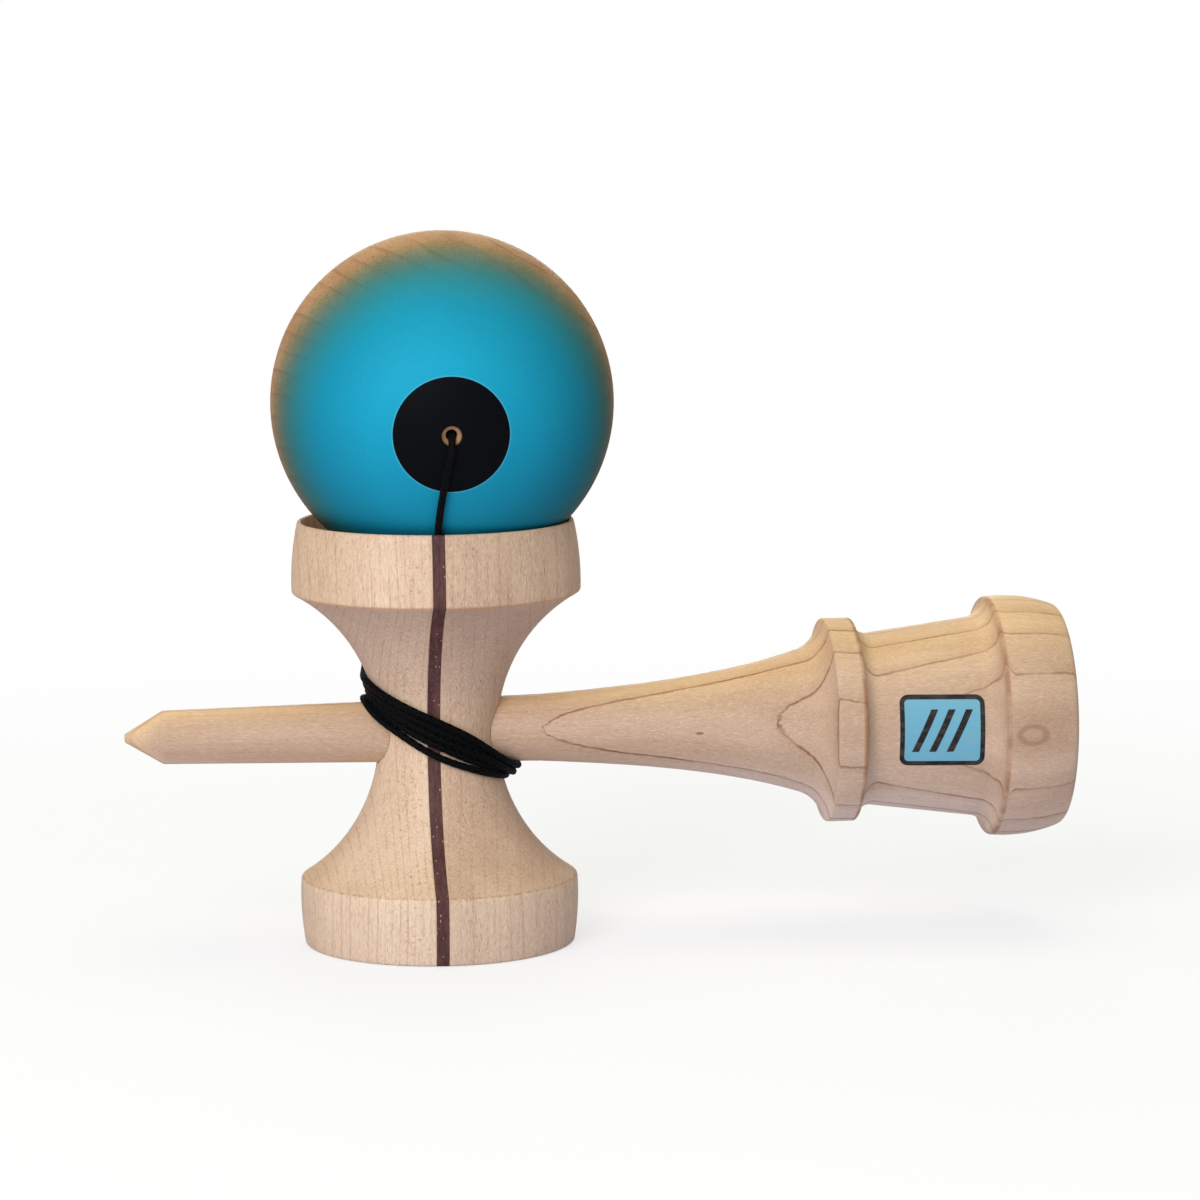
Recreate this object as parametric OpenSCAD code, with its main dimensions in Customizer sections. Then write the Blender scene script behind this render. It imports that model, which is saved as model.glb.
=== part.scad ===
// Cup and ball toy: a turned handle with a spike and a base cup, a laminated cross
// piece with a cup at each end, and a drilled ball that a wound string ties on.
// Sizes are in millimetres. The origin lies on the cross piece's axis, on the plane
// that its small cup stands on. +X runs along the handle towards the base cup, and
// +Z runs up to the big cup and the ball.

/* [Ball] */
// Diameter of the ball
ball_d = 60; // [56:0.5:64]
// Diameter of the spike hole's straight wall
spike_hole_d = 22; // [18:0.5:25]
// Length of the spike hole's straight wall
spike_hole_depth = 28; // [22:0.5:30]
// Width of the bevel round the spike hole's mouth
mouth_bevel = 2; // [0.5:0.25:3]
// Width of the bevel round the string hole's mouth
string_bevel = 1; // [0.5:0.1:2]
// Sideways lean of the ball, which the string under it causes
ball_lean = 1.45; // [0.8:0.05:1.5]
// Angle by which the string hole points below the level
ball_dip = 6; // [4:0.5:8]
// Angle by which the string hole points to the spike's side
ball_turn = 2; // [0:0.5:4]

/* [Cross piece] */
// Height from the small cup's rim to the big cup's rim
cross_h = 74.9; // [72:0.1:80]
// Height of the handle's axis
cross_z = 37.5; // [34:0.5:40]
// Diameter of the waist
waist_d = 21; // [19:0.5:25]
// Length of the straight part of the waist
waist_h = 0.6; // [0.2:0.2:3]
// Distance of the waist's middle below the handle's axis
waist_drop = 0.6; // [0:0.1:2]
// Radius of the flare from the waist to the big cup
upper_flare_r = 28.8; // [27.6:0.2:31]
// Radius of the flare from the waist to the small cup
lower_flare_r = 29.3; // [27.5:0.1:33]
// Widest diameter of the big cup's band
big_cup_d = 50.8; // [50:0.2:54]
// Diameter of the big cup's mouth
big_mouth_d = 47.2; // [46:0.1:47.4]
// Depth of the big cup
big_cup_depth = 15.5; // [12:0.5:17]
// Distance from the big cup's rim to where its band is widest
big_band_drop = 10.9; // [9:0.1:12]
// Widest diameter of the small cup's band
small_cup_d = 49; // [48:0.2:52]
// Diameter of the small cup's mouth
small_mouth_d = 43.2; // [40:0.2:44]
// Depth of the small cup
small_cup_depth = 13; // [9:0.5:15]
// Distance from the small cup's rim to where its band is widest
small_band_rise = 8.5; // [7:0.1:10]
// Radius of the bulge across both bands
band_bulge_r = 50; // [40:1:80]
// Radius of the sanded lower corner of each band
band_round = 0.7; // [0.3:0.1:1]
// Radius of the sanded edges of the rims
rim_round = 0.4; // [0.2:0.05:0.4]
// Thickness of the dark strip between the two halves
stripe_w = 2.2; // [1:0.1:4]
// Distance of the strip's middle from the axis, towards the spike
stripe_shift = 1.6; // [0:0.1:3]

/* [Handle] */
// Distance from the cross piece's axis to the spike's tip
spike_reach = 55; // [48:0.5:60]
// Length of the spike's point
spike_point = 6.7; // [5:0.1:10]
// Diameter of the spike behind its point
spike_d = 9.4; // [8.6:0.1:10]
// Distance from the cross piece's axis to where the grip starts to swell
grip_start = 18; // [16:0.5:22]
// Diameter of the grip where it starts to swell
grip_start_d = 11.8; // [11:0.1:12.4]
// Distance from the cross piece's axis to where the swell ends
grip_end = 64; // [58:0.5:72]
// Diameter of the grip where the swell ends
grip_end_d = 25.2; // [22:0.2:28]
// Radius of the flare up to the collar
collar_flare_r = 7; // [5:0.25:9]
// Diameter of the collar
collar_d = 36.2; // [34:0.2:39]
// Width of the collar
collar_w = 5; // [3:0.25:8]
// Radius of the hollow behind the collar
collar_back_r = 2.8; // [1.5:0.1:3.5]
// Length of the neck between the collar and the base
neck_len = 18.4; // [14:0.2:24]
// Diameter of the neck where it meets the base
neck_end_d = 35.4; // [33:0.2:38]
// Radius of the hollow under the base
base_hollow_r = 3.4; // [2:0.1:4]
// Widest diameter of the base
base_d = 42.9; // [41:0.1:46]
// Length of the base's band
base_len = 13; // [11:0.2:18]
// Distance along the base's band to where it is widest
base_peak = 3.2; // [1:0.1:5]
// Radius of the bulge across the base's band
base_bulge_r = 25; // [22:1:60]
// Radius of the sanded end of the base
base_round = 1.4; // [0.5:0.1:1.8]
// Diameter of the base cup's mouth
base_mouth_d = 35.6; // [30:0.2:36.4]
// Depth of the base cup
base_cup_depth = 8; // [5:0.5:11]

/* [String] */
// Diameter of the string
cord_d = 1.3; // [1:0.05:1.3]
// Gap between the turns of the winding
wind_gap = 0.52; // [0.5:0.01:0.6]
// Diameter of the bead inside the ball
bead_d = 6; // [5:0.25:7]
// Diameter of the knots
knot_d = 3.6; // [3:0.1:4]
// Length of the knots
knot_len = 2.2; // [1.8:0.1:2.6]

/* [Hidden] */
$fn = 96;

// Clearances
fit_gap = 0.05;
hole_slack = 0.35;
lay_gap = 0.2;
bead_gap = 0.2;
seat_gap = 0.2;
knot_gap = 0.1;
bead_slack = 0.15;
cut = 1;

// Small forms
lip_share = 1.6;
steepest = 76;
tip_r = 0.7;
tip_round = 0.5;
spike_round = 1.2;
collar_round = 0.4;
hole_flare = 1.6;
swell_in = [14, 0.9];
swell_out = [14, 4.5];

// The winding's turns, the rings that each turn has, and where its passes shift and bundle
turns = 4.75;
rings_per_turn = 24;
step_from = 0.78;
bundle_in = 20;
bundle_out = 75;
front_rise = 0.25;
loose_drop = 0.4;
loose_span = 70;
bend_reach = 2.4;

// Places along the ball's own axis, which runs out of the spike hole
ball_r = ball_d / 2;
spike_hole_r = spike_hole_d / 2;
string_hole_r = cord_d / 2 + hole_slack;
mouth_z = sqrt(ball_r ^ 2 - (spike_hole_r + mouth_bevel) ^ 2);
wall_top = mouth_z - mouth_bevel;
wall_end = wall_top - spike_hole_depth;
cone_tip = wall_end - spike_hole_r;
bead_z = cone_tip + (bead_d / 2 + bead_gap) * sqrt(2);
bead_top = bead_z + bead_d / 2;
string_mouth_z = -sqrt(ball_r ^ 2 - (string_hole_r + string_bevel) ^ 2);
string_end_z = string_mouth_z + cord_d + 0.2;

// The ball sits on the big cup's rim, and leans by the string's thickness
rim_r = big_mouth_d / 2;
ball_c = [ball_lean, 0, cross_h + sqrt((ball_r + seat_gap) ^ 2 - (rim_r - ball_lean) ^ 2)];
string_dir = [-sin(ball_turn) * cos(ball_dip), -cos(ball_turn) * cos(ball_dip), -sin(ball_dip)];

// Two-dimensional helpers
function unit(v) = v / norm(v);
function at(c, r, a) = c + r * [cos(a), sin(a)];
function angle_at(c, p) = atan2(p[1] - c[1], p[0] - c[0]);
function arc(c, r, a0, a1, n) = [for (i = [0 : n]) at(c, r, a0 + (a1 - a0) * i / n)];
function inner(list) = [for (i = [1 : len(list) - 2]) list[i]];
function smooth(x) = let (t = min(1, max(0, x))) t * t * (3 - 2 * t);
function bezier(p, n) = [for (i = [0 : n]) let (t = i / n, s = 1 - t)
    s ^ 3 * p[0] + 3 * s ^ 2 * t * p[1] + 3 * s * t ^ 2 * p[2] + t ^ 3 * p[3]];

// The corner b of the path a, b, c as an arc of radius r
function fillet(a, b, c, r, n = 5) =
    let (u = unit(a - b), v = unit(c - b), half = acos(u * v) / 2, turn = 180 - 2 * half)
    let (o = b + unit(u + v) * r / sin(half))
    let (p = b + u * r / tan(half) - o, q = b + v * r / tan(half) - o)
    [for (i = [0 : n]) o + (p * sin(turn * (1 - i / n)) + q * sin(turn * i / n)) / sin(turn)];

// A path whose points may have a third value, the radius that rounds the corner there
function flat(p) = [p[0], p[1]];
function rounded(path) = [for (i = [0 : len(path) - 1]) each len(path[i]) < 3 ? [path[i]] :
    fillet(flat(path[i - 1]), flat(path[i]), flat(path[i + 1]), path[i][2])];

// Where two circles cross, on the left of the way from the first centre to the second
function circles_meet(c0, r0, c1, r1) =
    let (d = norm(c1 - c0), e = (c1 - c0) / d, a = (r0 ^ 2 - r1 ^ 2 + d ^ 2) / (2 * d))
    c0 + a * e + sqrt(r0 ^ 2 - a ^ 2) * [-e[1], e[0]];

// A hollow of radius r from p, where the path climbs by the angle slope, up to the height top
function hollow_up(p, slope, r, top) =
    let (c = p + r * [-sin(slope), cos(slope)])
    let (last = min(steepest, acos(max(-1, min(1, (c[1] - top) / r)))), q = at(c, r, last - 90))
    concat(arc(c, r, slope - 90, last - 90, 10),
           top - q[1] > 0.01 ? [[q[0] + (top - q[1]) / tan(last), top]] : []);

// A spherical cup's section as radius and height, from its bottom on the axis to its mouth
function cup_arc(mouth_r, depth) =
    let (r = (mouth_r ^ 2 + depth ^ 2) / (2 * depth), a = asin(mouth_r / r), n = 20)
    [for (i = [0 : n - 1]) r * [sin(a * i / n), 1 - cos(a * i / n)]];
function backwards(list) = [for (i = [len(list) - 1 : -1 : 0]) list[i]];

// The cross piece's turned outline, as radius and height
waist_r = waist_d / 2;
waist_top = cross_z - waist_drop + waist_h / 2;
waist_low = waist_top - waist_h;
small_rim_r = small_mouth_d / 2;
big_band_c = [big_cup_d / 2 - band_bulge_r, cross_h - big_band_drop];
small_band_c = [small_cup_d / 2 - band_bulge_r, small_band_rise];
upper_c = [waist_r + upper_flare_r, waist_top];
lower_c = [waist_r + lower_flare_r, waist_low];
big_edge = at(big_band_c, band_bulge_r, asin(big_band_drop / band_bulge_r));
small_edge = at(small_band_c, band_bulge_r, asin(-small_band_rise / band_bulge_r));
upper_corner = circles_meet(big_band_c, band_bulge_r, upper_c, upper_flare_r);
lower_corner = circles_meet(lower_c, lower_flare_r, small_band_c, band_bulge_r);
big_lip_round = min(rim_round, (big_edge[0] - rim_r) / lip_share);
small_lip_round = min(rim_round, (small_edge[0] - small_rim_r) / lip_share);
big_band = arc(big_band_c, band_bulge_r, angle_at(big_band_c, big_edge),
               angle_at(big_band_c, upper_corner), 8);
small_band = arc(small_band_c, band_bulge_r, angle_at(small_band_c, lower_corner),
                 angle_at(small_band_c, small_edge), 8);
upper_flare = arc(upper_c, upper_flare_r, angle_at(upper_c, upper_corner), 180, 20);
lower_flare = arc(lower_c, lower_flare_r, 180, angle_at(lower_c, lower_corner) + 360, 20);
big_bowl = [for (p = cup_arc(rim_r, big_cup_depth)) [p[0], cross_h - big_cup_depth + p[1]]];
small_bowl = [for (p = cup_arc(small_rim_r, small_cup_depth)) [p[0], small_cup_depth - p[1]]];
cross_outline = rounded(concat(
    big_bowl,
    [[rim_r, cross_h, big_lip_round], [big_edge[0], cross_h, big_lip_round]],
    inner(big_band),
    [[upper_corner[0], upper_corner[1], band_round]],
    inner(upper_flare),
    [[waist_r, waist_top], [waist_r, waist_low]],
    inner(lower_flare),
    [[lower_corner[0], lower_corner[1], band_round]],
    inner(small_band),
    [[small_edge[0], 0, small_lip_round], [small_rim_r, 0, small_lip_round]],
    backwards(small_bowl)));

// Radius of the cross piece between its bands, at height z
function waist_r_at(z) =
    z > waist_top ? upper_c[0] - sqrt(upper_flare_r ^ 2 - (z - waist_top) ^ 2) :
    z < waist_low ? lower_c[0] - sqrt(lower_flare_r ^ 2 - (waist_low - z) ^ 2) : waist_r;

// Angle by which the surface there looks down
function waist_tilt_at(z) =
    z > waist_top ? asin((z - waist_top) / upper_flare_r) :
    z < waist_low ? -asin((waist_low - z) / lower_flare_r) : 0;

// The handle's turned outline, as distance along its axis and radius
spike_r = spike_d / 2;
grip_start_r = grip_start_d / 2;
collar_r = collar_d / 2;
shaft_start = spike_point - spike_reach;
shaft_slope = (grip_start_r - spike_r) / (grip_start - shaft_start);
function shaft_r_at(x) = spike_r + shaft_slope * (x - shaft_start);
grip = bezier([[grip_start, grip_start_r], [grip_start, grip_start_r] + swell_in,
               [grip_end, grip_end_d / 2] - swell_out, [grip_end, grip_end_d / 2]], 16);
collar_flare = hollow_up([grip_end, grip_end_d / 2], atan2(swell_out[1], swell_out[0]),
                         collar_flare_r, collar_r);
collar_x = collar_flare[len(collar_flare) - 1][0];
collar_back = arc([collar_x + collar_w + collar_back_r, collar_r], collar_back_r, 180, 270, 8);
neck_start = collar_back[len(collar_back) - 1];
neck_end = [neck_start[0] + neck_len, neck_end_d / 2];
base_edge_r = base_d / 2 - base_bulge_r + sqrt(base_bulge_r ^ 2 - base_peak ^ 2);
base_hollow = hollow_up(neck_end, angle_at(neck_start, neck_end), base_hollow_r, base_edge_r);
base_x = base_hollow[len(base_hollow) - 1][0];
base_end = base_x + base_len;
base_c = [base_x + base_peak, base_d / 2 - base_bulge_r];
base_lip_r = base_c[1] + sqrt(base_bulge_r ^ 2 - (base_len - base_peak) ^ 2);
base_band = arc(base_c, base_bulge_r, angle_at(base_c, [base_x, base_edge_r]),
                angle_at(base_c, [base_end, base_lip_r]), 10);
base_bowl = [for (p = cup_arc(base_mouth_d / 2, base_cup_depth)) [base_end - base_cup_depth + p[1], p[0]]];
handle_outline = rounded(concat(
    [[-spike_reach, 0], [-spike_reach, tip_r, tip_round], [shaft_start, spike_r, spike_round]],
    grip,
    inner(collar_flare),
    [[collar_x, collar_r, collar_round], [collar_x + collar_w, collar_r, collar_round]],
    inner(collar_back),
    [neck_start, neck_end],
    inner(base_hollow),
    [[base_x, base_edge_r, collar_round]],
    inner(base_band),
    [[base_end, base_lip_r, base_round], [base_end, base_mouth_d / 2, rim_round]],
    backwards(base_bowl)));

// The string's way through the waist and the handle
shaft_r = shaft_r_at(0);
pocket_floor = shaft_r - knot_len - 2 * knot_gap - fit_gap;
string_out = waist_r - hole_flare - cord_d;

// The winding: five passes round the waist, over the spike and under the grip.
// A pass lies at a number of pitches out from the wood and up from the winding's middle.
pitch = cord_d + wind_gap;
wind_r = waist_r + cord_d;
wind_left = cross_z + shaft_r_at(-wind_r) + 2 * lay_gap + cord_d / 2 + 1.5 * pitch;
wind_right = cross_z - shaft_r_at(wind_r) - lay_gap - cord_d - pitch;
wind_swing = (wind_left - wind_right) / 2;
wind_front = cross_z + front_rise;
wind_back = cross_z + 1.5 * pitch / cos(atan(wind_swing / wind_r));
wind_lean = (wind_back - wind_front) / 2;
wind_twist = (wind_front + wind_back - wind_left - wind_right) / 4;
wind_mid = (wind_front + wind_back + wind_left + wind_right) / 4;
function wind_z(a) = wind_mid - wind_swing * cos(a) + wind_lean * sin(a) - wind_twist * cos(2 * a);
function wind_slope(a) =
    atan((wind_swing * sin(a) + wind_lean * cos(a) + 2 * wind_twist * sin(2 * a)) / wind_r);

// Passes side by side, with the fifth in the groove on top of the last two
function side_by_side(k) = k <= 3 ? [0, k - 1.5] :
    side_by_side(k - 1) + [sin(120 * (k - 3)), cos(120 * (k - 3))];

// Passes drawn together by the share g into a bundle two wide, where they go under the grip
function bundled(k, g) =
    let (first = [0, g - 1.5], second = first + [0, 1], third = second + [sin(120 * g), cos(120 * g)])
    k == 0 ? first : k == 1 ? second : k == 2 ? third :
    k == 3 ? third + [0, 1] : third + [cos(30), 0.5];

// A point of the winding after u turns, which start at the back and go by the grip's side
function wind_at(u) =
    let (k = floor(u), a = 90 - 360 * (u - k), off = abs((a + 540) % 360 - 180))
    let (g = smooth((bundle_out - off) / (bundle_out - bundle_in)))
    let (place = g > 0 ? bundled(k, g) : side_by_side(k + smooth((u - k - step_from) / (1 - step_from))))
    let (loose = k == 0 ? loose_drop * smooth(1 - abs((a + 450) % 360 - 180) / loose_span) : 0)
    let (z = wind_z(a) + pitch * place[1] / cos(wind_slope(a)) - loose)
    let (out = lay_gap + cord_d / 2 + pitch * place[0], tilt = waist_tilt_at(z))
    let (r = waist_r_at(z) + out * cos(tilt))
    [r * cos(a), r * sin(a), z - out * sin(tilt)];

wind_turn = [for (i = [1 : round(turns * rings_per_turn)]) wind_at(i / rings_per_turn)];
wind_start_dir = unit(wind_turn[1] - wind_at(0));
wind_end_dir = unit(wind_at(turns) - wind_at(turns - 0.01));
hole_start = [0, string_out, cross_z];
hole_bend = hole_start + [0, cord_d, 0];
hole_turn = bezier([hole_bend, hole_bend + [0, bend_reach, 0],
                    wind_turn[0] - bend_reach * wind_start_dir, wind_turn[0]], 6);
wind_end = wind_turn[len(wind_turn) - 1] + cord_d * wind_end_dir;
wind_path = concat([hole_start], hole_turn, [for (i = [1 : len(wind_turn) - 1]) wind_turn[i]], [wind_end]);

// The least gap between turns, measured between points at least half a turn apart
wind_least_gap = min([for (i = [0 : len(wind_path) - 1], j = [i + 12 : 1 : len(wind_path) - 1])
    norm(wind_path[i] - wind_path[j])]) - cord_d;
echo(winding_least_gap = wind_least_gap);

// The lead: up behind the cross piece, over the big cup's rim, under the ball, out over the
// front of the rim and up to the ball's string hole
lead_points = [
    [-15.2, 4.1, 48.8], [-14.5, 6.4, 50.3], [-13.8, 9, 52], [-13, 12, 53.8],
    [-12, 15.3, 55.8], [-11, 18.6, 57.8], [-10.2, 21.7, 59.6], [-9.5, 24.4, 61.5],
    [-9, 25, 63.9], [-8, 25.1, 67], [-7, 25.2, 70], [-6, 25.1, 73],
    [-5, 24.7, 75], [-3.4, 24.1, 75.9], [-1.8, 23.2, 75.5], [-0.4, 22.4, 74.2],
    [2.5, 20.4, 71.2], [5.7, 16.6, 67.5], [8, 12, 64.9], [9.4, 6.8, 63.2],
    [9.9, 1.4, 62.4], [9.4, -3.8, 62.5], [8, -8.9, 63.4], [6, -13.5, 65.2],
    [3.4, -17.5, 67.8], [0.7, -20.5, 71.1], [-0.9, -21.9, 73.3], [-1.6, -22.7, 74.8],
    [-1.5, -24.6, 77.1], [-1.3, -26.5, 80], [-0.9, -28, 82.9], [-0.5, -29.2, 85.9],
    [-0.1, -29.9, 88.3], [0.1, -30.5, 89.9], [0.2, -30.9, 91.1], [0.3, -30.6, 92]];
lead_split = 26;
hole_mouth = ball_c + (-string_end_z + cord_d) * string_dir;
hole_inside = ball_c - string_end_z * string_dir;
lead_route = concat([wind_end + cord_d * wind_end_dir], lead_points, [hole_mouth]);
lead_path = concat([wind_end], spline(lead_route, 2), [hole_inside]);
lead_cut = 1 + 2 * (lead_split + 1);

// A smooth path through the points p, with m steps between each two
function spline(p, m) = concat([for (i = [0 : len(p) - 2], j = [0 : m - 1])
    let (t = j / m, a = p[max(i - 1, 0)], b = p[i], c = p[i + 1], d = p[min(i + 2, len(p) - 1)])
    (2 * b + (c - a) * t + (2 * a - 5 * b + 4 * c - d) * t ^ 2 + (3 * b - a - 3 * c + d) * t ^ 3) / 2],
    [p[len(p) - 1]]);

// Rings of a tube along a path: each ring keeps the direction of the one before it
function across(v, t) = unit(v - (v * t) * t);
function tangents(p) = [for (i = [0 : len(p) - 1]) unit(p[min(i + 1, len(p) - 1)] - p[max(i - 1, 0)])];
function normals(t) = [for (i = 0, n = across([1, 2, 3], t[0]); i < len(t);
    n = across(n, t[min(i + 1, len(t) - 1)]), i = i + 1) n];
function rings(p, r, sides) = let (t = tangents(p), n = normals(t))
    [for (i = [0 : len(p) - 1]) [for (s = [0 : sides - 1]) let (a = 360 * s / sides)
        p[i] + r * (cos(a) * n[i] + sin(a) * cross(t[i], n[i]))]];

// A closed tube through rings of points
module tube(ring) {
    sides = len(ring[0]);
    last = sides * (len(ring) - 1);
    walls = [for (i = [0 : len(ring) - 2], s = [0 : sides - 1])
        let (a = i * sides + s, b = i * sides + (s + 1) % sides)
        each [[a, a + sides, b], [b, a + sides, b + sides]]];
    ends = [for (s = [1 : sides - 2]) each [[0, s, s + 1], [last, last + s + 1, last + s]]];
    polyhedron([for (r = ring) each r], concat(walls, ends));
}

// Places in the ball's own frame, whose +Z runs out of the spike hole
module in_ball() {
    translate(ball_c) rotate([ball_dip - 90, 0, -ball_turn]) children();
}

// Places along the string's hole through the waist, whose +Z runs to the back
module along_hole(y) {
    translate([0, y, cross_z]) rotate([-90, 0, 0]) children();
}

module handle() {
    color("burlywood") difference() {
        translate([0, 0, cross_z]) rotate([0, 90, 0])
            rotate_extrude() polygon([for (p = handle_outline) [p[1], p[0]]]);
        along_hole(-shaft_r - cut) cylinder(r = string_hole_r, h = 2 * (shaft_r + cut));
        along_hole(-shaft_r - cut) cylinder(d = knot_d + 4 * knot_gap, h = shaft_r + cut - pocket_floor);
    }
}

// The whole cross piece, bored for the handle and drilled for the string
module cross_piece() {
    bore_reach = big_cup_d / 2 + cut;
    difference() {
        rotate_extrude() polygon(cross_outline);
        translate([-bore_reach, 0, cross_z]) rotate([0, 90, 0])
            cylinder(r1 = shaft_r_at(-bore_reach) + fit_gap, r2 = shaft_r_at(bore_reach) + fit_gap,
                     h = 2 * bore_reach);
        along_hole(0) cylinder(r = string_hole_r, h = waist_r + cut);
        along_hole(waist_r - hole_flare)
            cylinder(r1 = string_hole_r, r2 = string_hole_r + hole_flare + cut, h = hole_flare + cut);
    }
}

// The slice of the cross piece between two places along X
module cross_slice(x0, x1) {
    intersection() {
        cross_piece();
        translate([x0, -big_cup_d, -cut]) cube([x1 - x0, 2 * big_cup_d, cross_h + 2 * cut]);
    }
}

stripe_x0 = -stripe_shift - stripe_w / 2;
stripe_x1 = -stripe_shift + stripe_w / 2;

module cross_left_half() {
    color("wheat") cross_slice(-big_cup_d, stripe_x0);
}

module cross_stripe() {
    color([0.3, 0.16, 0.17]) cross_slice(stripe_x0, stripe_x1);
}

module cross_right_half() {
    color("wheat") cross_slice(stripe_x1, big_cup_d);
}

module ball() {
    color([0.1, 0.62, 0.76]) in_ball() difference() {
        sphere(r = ball_r);
        translate([0, 0, wall_end]) cylinder(r = spike_hole_r, h = ball_r - wall_end + cut);
        translate([0, 0, wall_top])
            cylinder(r1 = spike_hole_r, r2 = spike_hole_r + 2 * mouth_bevel, h = 2 * mouth_bevel);
        translate([0, 0, cone_tip]) cylinder(r1 = 0, r2 = spike_hole_r, h = spike_hole_r);
        translate([0, 0, -ball_r - cut])
            cylinder(r = string_hole_r, h = ball_r + cut + cone_tip + spike_hole_r / 2);
        translate([0, 0, string_mouth_z - string_bevel])
            cylinder(r1 = string_hole_r + 2 * string_bevel, r2 = string_hole_r, h = 2 * string_bevel);
    }
}

module bead() {
    color("black") in_ball() translate([0, 0, bead_z]) difference() {
        sphere(r = bead_d / 2);
        cylinder(r = cord_d / 2 + bead_slack, h = bead_d + cut, center = true);
    }
}

// A drawn-down overhand knot, as a short barrel with rounded ends
module knot() {
    edge = knot_d / 4;
    rotate_extrude()
        polygon(rounded([[0, 0], [knot_d / 2, 0, edge], [knot_d / 2, knot_len, edge], [0, knot_len]]));
}

module bead_knot() {
    color("black") in_ball() translate([0, 0, bead_top + knot_gap]) knot();
}

module handle_knot() {
    color("black") along_hole(-pocket_floor - knot_gap - knot_len) knot();
}

module string_anchor() {
    start = -pocket_floor - knot_gap;
    color("black") along_hole(start) cylinder(d = cord_d, h = string_out - start);
}

module string_winding() {
    color("black") tube(rings(wind_path, cord_d / 2, 6));
}

lead_rings = rings(lead_path, cord_d / 2, 8);

module string_lead() {
    color("black") tube([for (i = [0 : lead_cut]) lead_rings[i]]);
}

module string_front() {
    color("black") tube([for (i = [lead_cut : len(lead_rings) - 1]) lead_rings[i]]);
}

module string_in_ball() {
    color("black") in_ball() translate([0, 0, string_end_z])
        cylinder(d = cord_d, h = bead_top + knot_gap - string_end_z);
}

handle();
cross_left_half();
cross_stripe();
cross_right_half();
ball();
bead();
bead_knot();
handle_knot();
string_anchor();
string_winding();
string_lead();
string_front();
string_in_ball();
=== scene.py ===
"""Looks of the cup and ball toy: turned maple with a dark stripe, a sprayed ball and a braided string."""

import math

import bpy
import numpy as np
from mathutils import Euler, Matrix, Vector


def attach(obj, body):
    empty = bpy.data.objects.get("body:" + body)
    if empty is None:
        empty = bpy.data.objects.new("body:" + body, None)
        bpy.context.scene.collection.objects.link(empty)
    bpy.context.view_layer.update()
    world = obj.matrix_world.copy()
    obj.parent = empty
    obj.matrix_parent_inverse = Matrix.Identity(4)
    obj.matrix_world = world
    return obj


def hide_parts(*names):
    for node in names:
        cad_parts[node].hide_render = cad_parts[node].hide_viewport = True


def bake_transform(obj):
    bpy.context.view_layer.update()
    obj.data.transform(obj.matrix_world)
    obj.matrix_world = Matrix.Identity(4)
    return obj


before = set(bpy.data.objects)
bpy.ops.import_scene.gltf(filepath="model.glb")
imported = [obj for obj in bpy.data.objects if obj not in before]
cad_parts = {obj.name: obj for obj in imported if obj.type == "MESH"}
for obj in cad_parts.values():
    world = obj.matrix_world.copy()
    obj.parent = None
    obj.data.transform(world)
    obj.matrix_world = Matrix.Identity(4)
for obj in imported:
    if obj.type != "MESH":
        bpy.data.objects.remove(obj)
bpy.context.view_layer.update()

# A millimetre in the frame's metres
MM = 0.001

# Sizes and places of the part, in millimetres, as in its source
CROSS_H, CROSS_Z = 74.9, 37.5
WAIST_R, WAIST_TOP, WAIST_LOW = 10.5, 37.2, 36.6
UPPER_FLARE_R, LOWER_FLARE_R = 28.8, 29.3
UPPER_CORNER, LOWER_CORNER = 62.3, 11.7
SHAFT_TIP_X, SHAFT_TIP_R, SHAFT_GAIN, SHAFT_LENGTH = -48.3, 4.7, 1.2, 66.3
COLLAR_EDGE, BASE_EDGE, BASE_END, BASE_MOUTH_R = 73.5, 98.3, 111.1, 17.8
CORD_D = 1.3
CORD_R = CORD_D / 2

# The ball, seated on the big cup's rim, and the places along its own axis, which runs out of its spike hole
BALL_R, BALL_LEAN, BALL_DIP, BALL_TURN = 30.0, 1.45, math.radians(6), math.radians(2)
RIM_R, SEAT_GAP = 23.6, 0.2
BALL_RISE = math.sqrt((BALL_R + SEAT_GAP) ** 2 - (RIM_R - BALL_LEAN) ** 2)
BALL_C = np.array([BALL_LEAN, 0.0, CROSS_H + BALL_RISE])
BALL_AXIS = np.array([
    math.cos(BALL_DIP) * math.sin(BALL_TURN), math.cos(BALL_DIP) * math.cos(BALL_TURN), math.sin(BALL_DIP)])
SPIKE_HOLE_R, SPIKE_HOLE_DEPTH, MOUTH_BEVEL = 11.0, 28.0, 2.0
SPIKE_HOLE_END = math.sqrt(BALL_R ** 2 - (SPIKE_HOLE_R + MOUTH_BEVEL) ** 2) - MOUTH_BEVEL - SPIKE_HOLE_DEPTH
BEAD_R, BEAD_GAP = 3.0, 0.2
BEAD_TOP = SPIKE_HOLE_END - SPIKE_HOLE_R + (BEAD_R + BEAD_GAP) * math.sqrt(2) + BEAD_R

# The string's braid: strands each way, length of a wave in millimetres, and depth as a share of the radius
BRAID_STRANDS, BRAID_PITCH, BRAID_DEPTH = 4, 1.7, 0.035


def srgb(r, g, b):
    """A colour given as 0 to 255 display values, in linear light."""
    def linear(v):
        v /= 255
        return v / 12.92 if v <= 0.04045 else ((v + 0.055) / 1.055) ** 2.4
    return (linear(r), linear(g), linear(b), 1.0)


WHITE = srgb(255, 255, 255)


# Material graphs

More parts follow.
